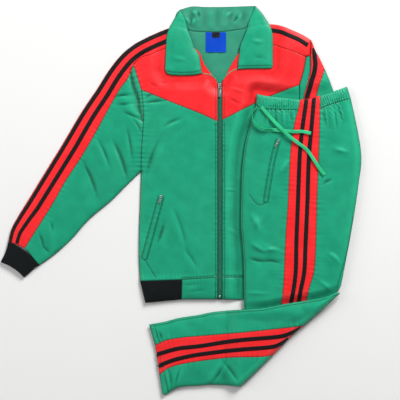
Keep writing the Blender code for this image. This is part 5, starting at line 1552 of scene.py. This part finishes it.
def sleeve_right():
    panel = outline(
        J["sleeve_top_right"], J["sleeve_seam_right"], [(355, -184), (324, -184)], (J["fold_right"], -1),
    )
    cloth("sleeve_right_panel", panel, right_sleeve_cloth, "red_tricot")
    tape("sleeve_right_tape", edges_beside(J["fold_right"], RIGHT_SLEEVE_TAPE), panel, right_sleeve_cloth)
    cloth("sleeve_right_front", outline(
        J["sleeve_out_right"], [(414, -184), (355, -184)], (J["sleeve_seam_right"], -1),
    ), right_sleeve_cloth, "green_tricot")
    rib_tube("cuff_right", CUFF_RIGHT, 0.0, 0.0, RIB_WALE, 0.4)


def leaf_surface(leaf):
    surface = leaf_height(leaf)

    def leaf_cloth(points):
        fine = drift(points * 1.4, 0.45) + creases(points, LEAF_CREASES, 1.0) + puckers(points, LEAF_PUCKERS)
        return surface(points) + fine + grooves(points, LEAF_STITCHES)

    return leaf_cloth


def collar():
    def inside_neck(points):
        across = (points[:, 0] - 97) / 100
        edge = segments_distance(points, collar_back_outline())
        fold = np.sin(across * 9.0) ** 2 * smooth(edge / 20)
        return WALL + 2.0 * fold + smooth(edge / 8) * creases(points, COLLAR_CREASES, 1.0)

    cloth("collar_back", collar_back_outline(), inside_neck, "green_inside", grid=NECK_GRID)
    for node_name, leaf in (("collar_leaf_left", LEAF_LEFT_OUTLINE), ("collar_leaf_right", LEAF_RIGHT_OUTLINE)):
        cloth(node_name, leaf, leaf_surface(leaf), "green_tricot", wall=LEAF_WALL,
              stitches=LEAF_STITCHES)
    label("neck_label", "label_satin", LABEL, WALL + GAP, 0.5, 0.9)
    label("size_tab", "size_tab", SIZE_TAB, WALL + 0.7 + GAP, 0.5, 0.3)


def front_zip():
    stations = np.linspace(ZIP_END_Y, ZIP_TOP_Y, 190)
    across = np.array([-14.0, -10, -6.6, -6.4, -3, 0, 3, 6.4, 6.6, 10, 14])
    x, y = np.meshgrid(ZIP_X + across, stations)
    flat = np.column_stack([np.full(len(stations), ZIP_X), stations])
    folded_under = smooth((y - ZIP_END_Y) / 8) * (np.abs(x - ZIP_X) > ZIP_OPENING / 2)
    z = jacket_height(flat)[:, None] - ZIP_SUNK - 1.2 * folded_under
    top = np.dstack([x, y, z])
    edge = np.full(x.shape, 9.0)
    made = strip_solid("zip_tape_cloth", top, top - [0, 0, 0.7], "zip_tape", np.dstack([y, x]), edge)
    dress(made, "zip_tape", "zip_tape")
    zip_teeth("zip_coil_teeth", ZIP_X, ZIP_END_Y + 4, ZIP_TOP_Y - 13,
              lambda points: jacket_height(points) - 1.5)
    for stem, tab_body, size in (
        ("zip_slider", "front_tab", 1.0), ("pocket_slider_jacket", "jacket_pocket_tab", POCKET_ZIP_SCALE),
        ("pocket_slider_trousers", "trousers_pocket_tab", POCKET_ZIP_SCALE),
    ):
        slider(stem, stem.replace("slider", "pull"), tab_body, size)


def trousers():
    layers("trousers_layers", stack_outline(TROUSERS_OUTLINE), trousers_rest, 0.0)
    layers("lower_leg_layers", stack_outline(LOWER_OUTLINE), turned_rest, 2.0)
    for name, upper, lower in (
        ("waistband_front", T["waist_front"], T["band_low_front"]),
        ("waistband_back", T["waist_back"], T["band_low_back"]),
    ):
        wavy_band(name, upper, lower, trousers_cloth, shirred, "green_tricot")
    front = outline(T["band_low_front"], T["side_left"], (T["end_front"], -1), (T["front_edge"], -1))
    cloth("trousers_front", front, trousers_cloth, "green_tricot", stitches=TROUSERS_STITCHES)
    tape("pocket_welt_trousers", edges_of(POCKET_TROUSERS, POCKET_TROUSERS_WIDTH), front, trousers_cloth,
         "green_tricot", 0.8)
    side = outline(
        T["waist_side"], T["side_top_right"], T["side_right"], (T["end_side"], -1), (T["side_left"], -1),
        (T["side_top_left"], -1),
    )
    cloth("trousers_side_panel", side, trousers_cloth, "red_tricot")
    for name, line in SIDE_TAPES.items():
        tape(name, edges_of(line, TAPE_WIDTH), side, trousers_cloth)
    cloth("trousers_back", outline(
        T["band_low_back"], T["back_edge"], (T["end_back"], -1), (T["side_right"], -1),
    ), trousers_cloth, "green_tricot", stitches=TROUSERS_STITCHES)


def lower_leg():
    cloth("lower_leg_green_top", outline(
        L["top"], L["fold_top"], (L["seam_top"], -1), L["hem_top"],
    ), lower_leg_cloth, "green_tricot", grain=83, stitches=LOWER_LEG_STITCHES)
    side = outline(L["seam_top"], L["fold_side"], (L["seam_low"], -1), L["hem_side"])
    cloth("lower_leg_side_panel", side, lower_leg_cloth, "red_tricot", grain=83)
    for name, line in LOWER_TAPES.items():
        tape(name, edges_of(line, TAPE_WIDTH), side, lower_leg_cloth)
    cloth("lower_leg_green_low", outline(
        L["seam_low"], L["fold_low"], L["low"], L["hem_low"],
    ), lower_leg_cloth, "green_tricot", grain=88, stitches=LOWER_LEG_STITCHES)


def sewing():
    jacket, leg, low = jacket_cloth, trousers_cloth, lower_leg_cloth
    rows = [(line, shift, jacket, 0.01, 0.99) for line, shift in JACKET_STITCHES[:-2]]
    rows += [(line, shift, leg, 0.02, 0.98) for line, shift in TROUSERS_STITCHES]
    rows += [(line, shift, low, 0.02, 0.95) for line, shift in LOWER_LEG_STITCHES]
    rows += [(T["band_low_front"], 3.0, leg, 0.02, 0.98), (T["band_low_back"], 3.0, leg, 0.02, 0.98)]
    thread("green_topstitching", rows, "green_thread")
    thread("red_topstitching", [
        (J["yoke_low_left"], 2.6, jacket, 0.02, 0.98), (J["yoke_low_right"], 2.6, jacket, 0.02, 0.5),
        (YOKE_ZIP_LEFT, -5.5, jacket, 0, 1), (YOKE_ZIP_RIGHT, 5.5, jacket, 0, 1),
    ], "red_thread")
    thread("neckline_piping", [
        ([(57, 337), (83, 331), (98, 315)], 0.0, jacket, 0, 1),
        ([(150, 348), (137, 344), (119, 330), (109, 315)], 0.0, jacket, 0, 1),
    ], "green_thread", length=6.0, gap=-0.6, thick=1.4)
    stop = ([(ZIP_X, -250), (ZIP_X, -261)], 0.0, lambda points: jacket(points) - 1.0, 0, 1)
    thread("zip_bottom_stop", [stop], "zip_metal", length=8.0, thick=2.0)
    thread("leg_hem_bar_tacks", [
        ([(-66, -412), (-57, -412)], 0.0, low, 0, 1), ([(-65, -438), (-43, -440)], 0.0, low, 0, 1),
    ], "black_thread", length=3.4, gap=-0.6, thick=1.5)
    thread("leg_hem_black_stitching", [([(-53, -394), (-53, -437)], 0.0, low, 0, 1)], "black_thread", thick=0.6)
    for node_name, leaf, surface_rows in (
        ("collar_leaf_left", LEAF_LEFT_OUTLINE, (LEAF_LEFT["low"], 8.0)),
        ("collar_leaf_right", LEAF_RIGHT_OUTLINE, (LEAF_RIGHT["low"], -8.0)),
    ):
        thread(f"{node_name}_stitching", [(*surface_rows, leaf_surface(leaf), 0.05, 0.95)], "green_thread")


def stage():
    bpy.ops.mesh.primitive_plane_add(size=FLOOR_SIZE, location=(0, 0, -FLOOR_GAP))
    floor = bpy.context.object
    floor.name = "floor"
    floor.data.materials.append(FINISH["floor"])
    scene = bpy.context.scene
    camera = bpy.data.cameras.new("camera")
    camera.lens = FILM_MM * CAMERA_HEIGHT / PICTURE_WIDTH
    made = bpy.data.objects.new("camera", camera)
    scene.collection.objects.link(made)
    made.location = (CAMERA_X, CAMERA_Y, CAMERA_HEIGHT)
    scene.camera = made
    for name, place_at, size, power in LIGHTS:
        lamp = bpy.data.lights.new(name, "AREA")
        lamp.shape = "RECTANGLE"
        lamp.size, lamp.size_y = size
        lamp.energy = power
        light = bpy.data.objects.new(name, lamp)
        scene.collection.objects.link(light)
        light.location = place_at
        light.rotation_euler = (-Vector(place_at)).to_track_quat("-Z", "Y").to_euler()
    world = bpy.data.worlds.new("studio")
    world.use_nodes = True
    tree = world.node_tree
    tree.nodes["Background"].inputs[0].default_value = colour(STUDIO_WHITE)
    way = node(tree, "SeparateXYZ", links={0: node(tree, "TexCoord").outputs["Generated"]})
    light = ranged(tree, way.outputs[2], 0.0, 0.3, HORIZON_LIGHT, WORLD_LIGHT)
    tree.links.new(light, tree.nodes["Background"].inputs[1])
    scene.world = world
    scene.view_settings.view_transform = "Standard"


stage()
flat_cord("drawstring_long", DRAWSTRING_LONG, trousers_height)
flat_cord("drawstring_short", DRAWSTRING_SHORT, trousers_height)
backs()
sleeve_left()
fronts()
hem()
shoulder_right()
sleeve_right()
collar()
front_zip()
trousers()
lower_leg()
sewing()
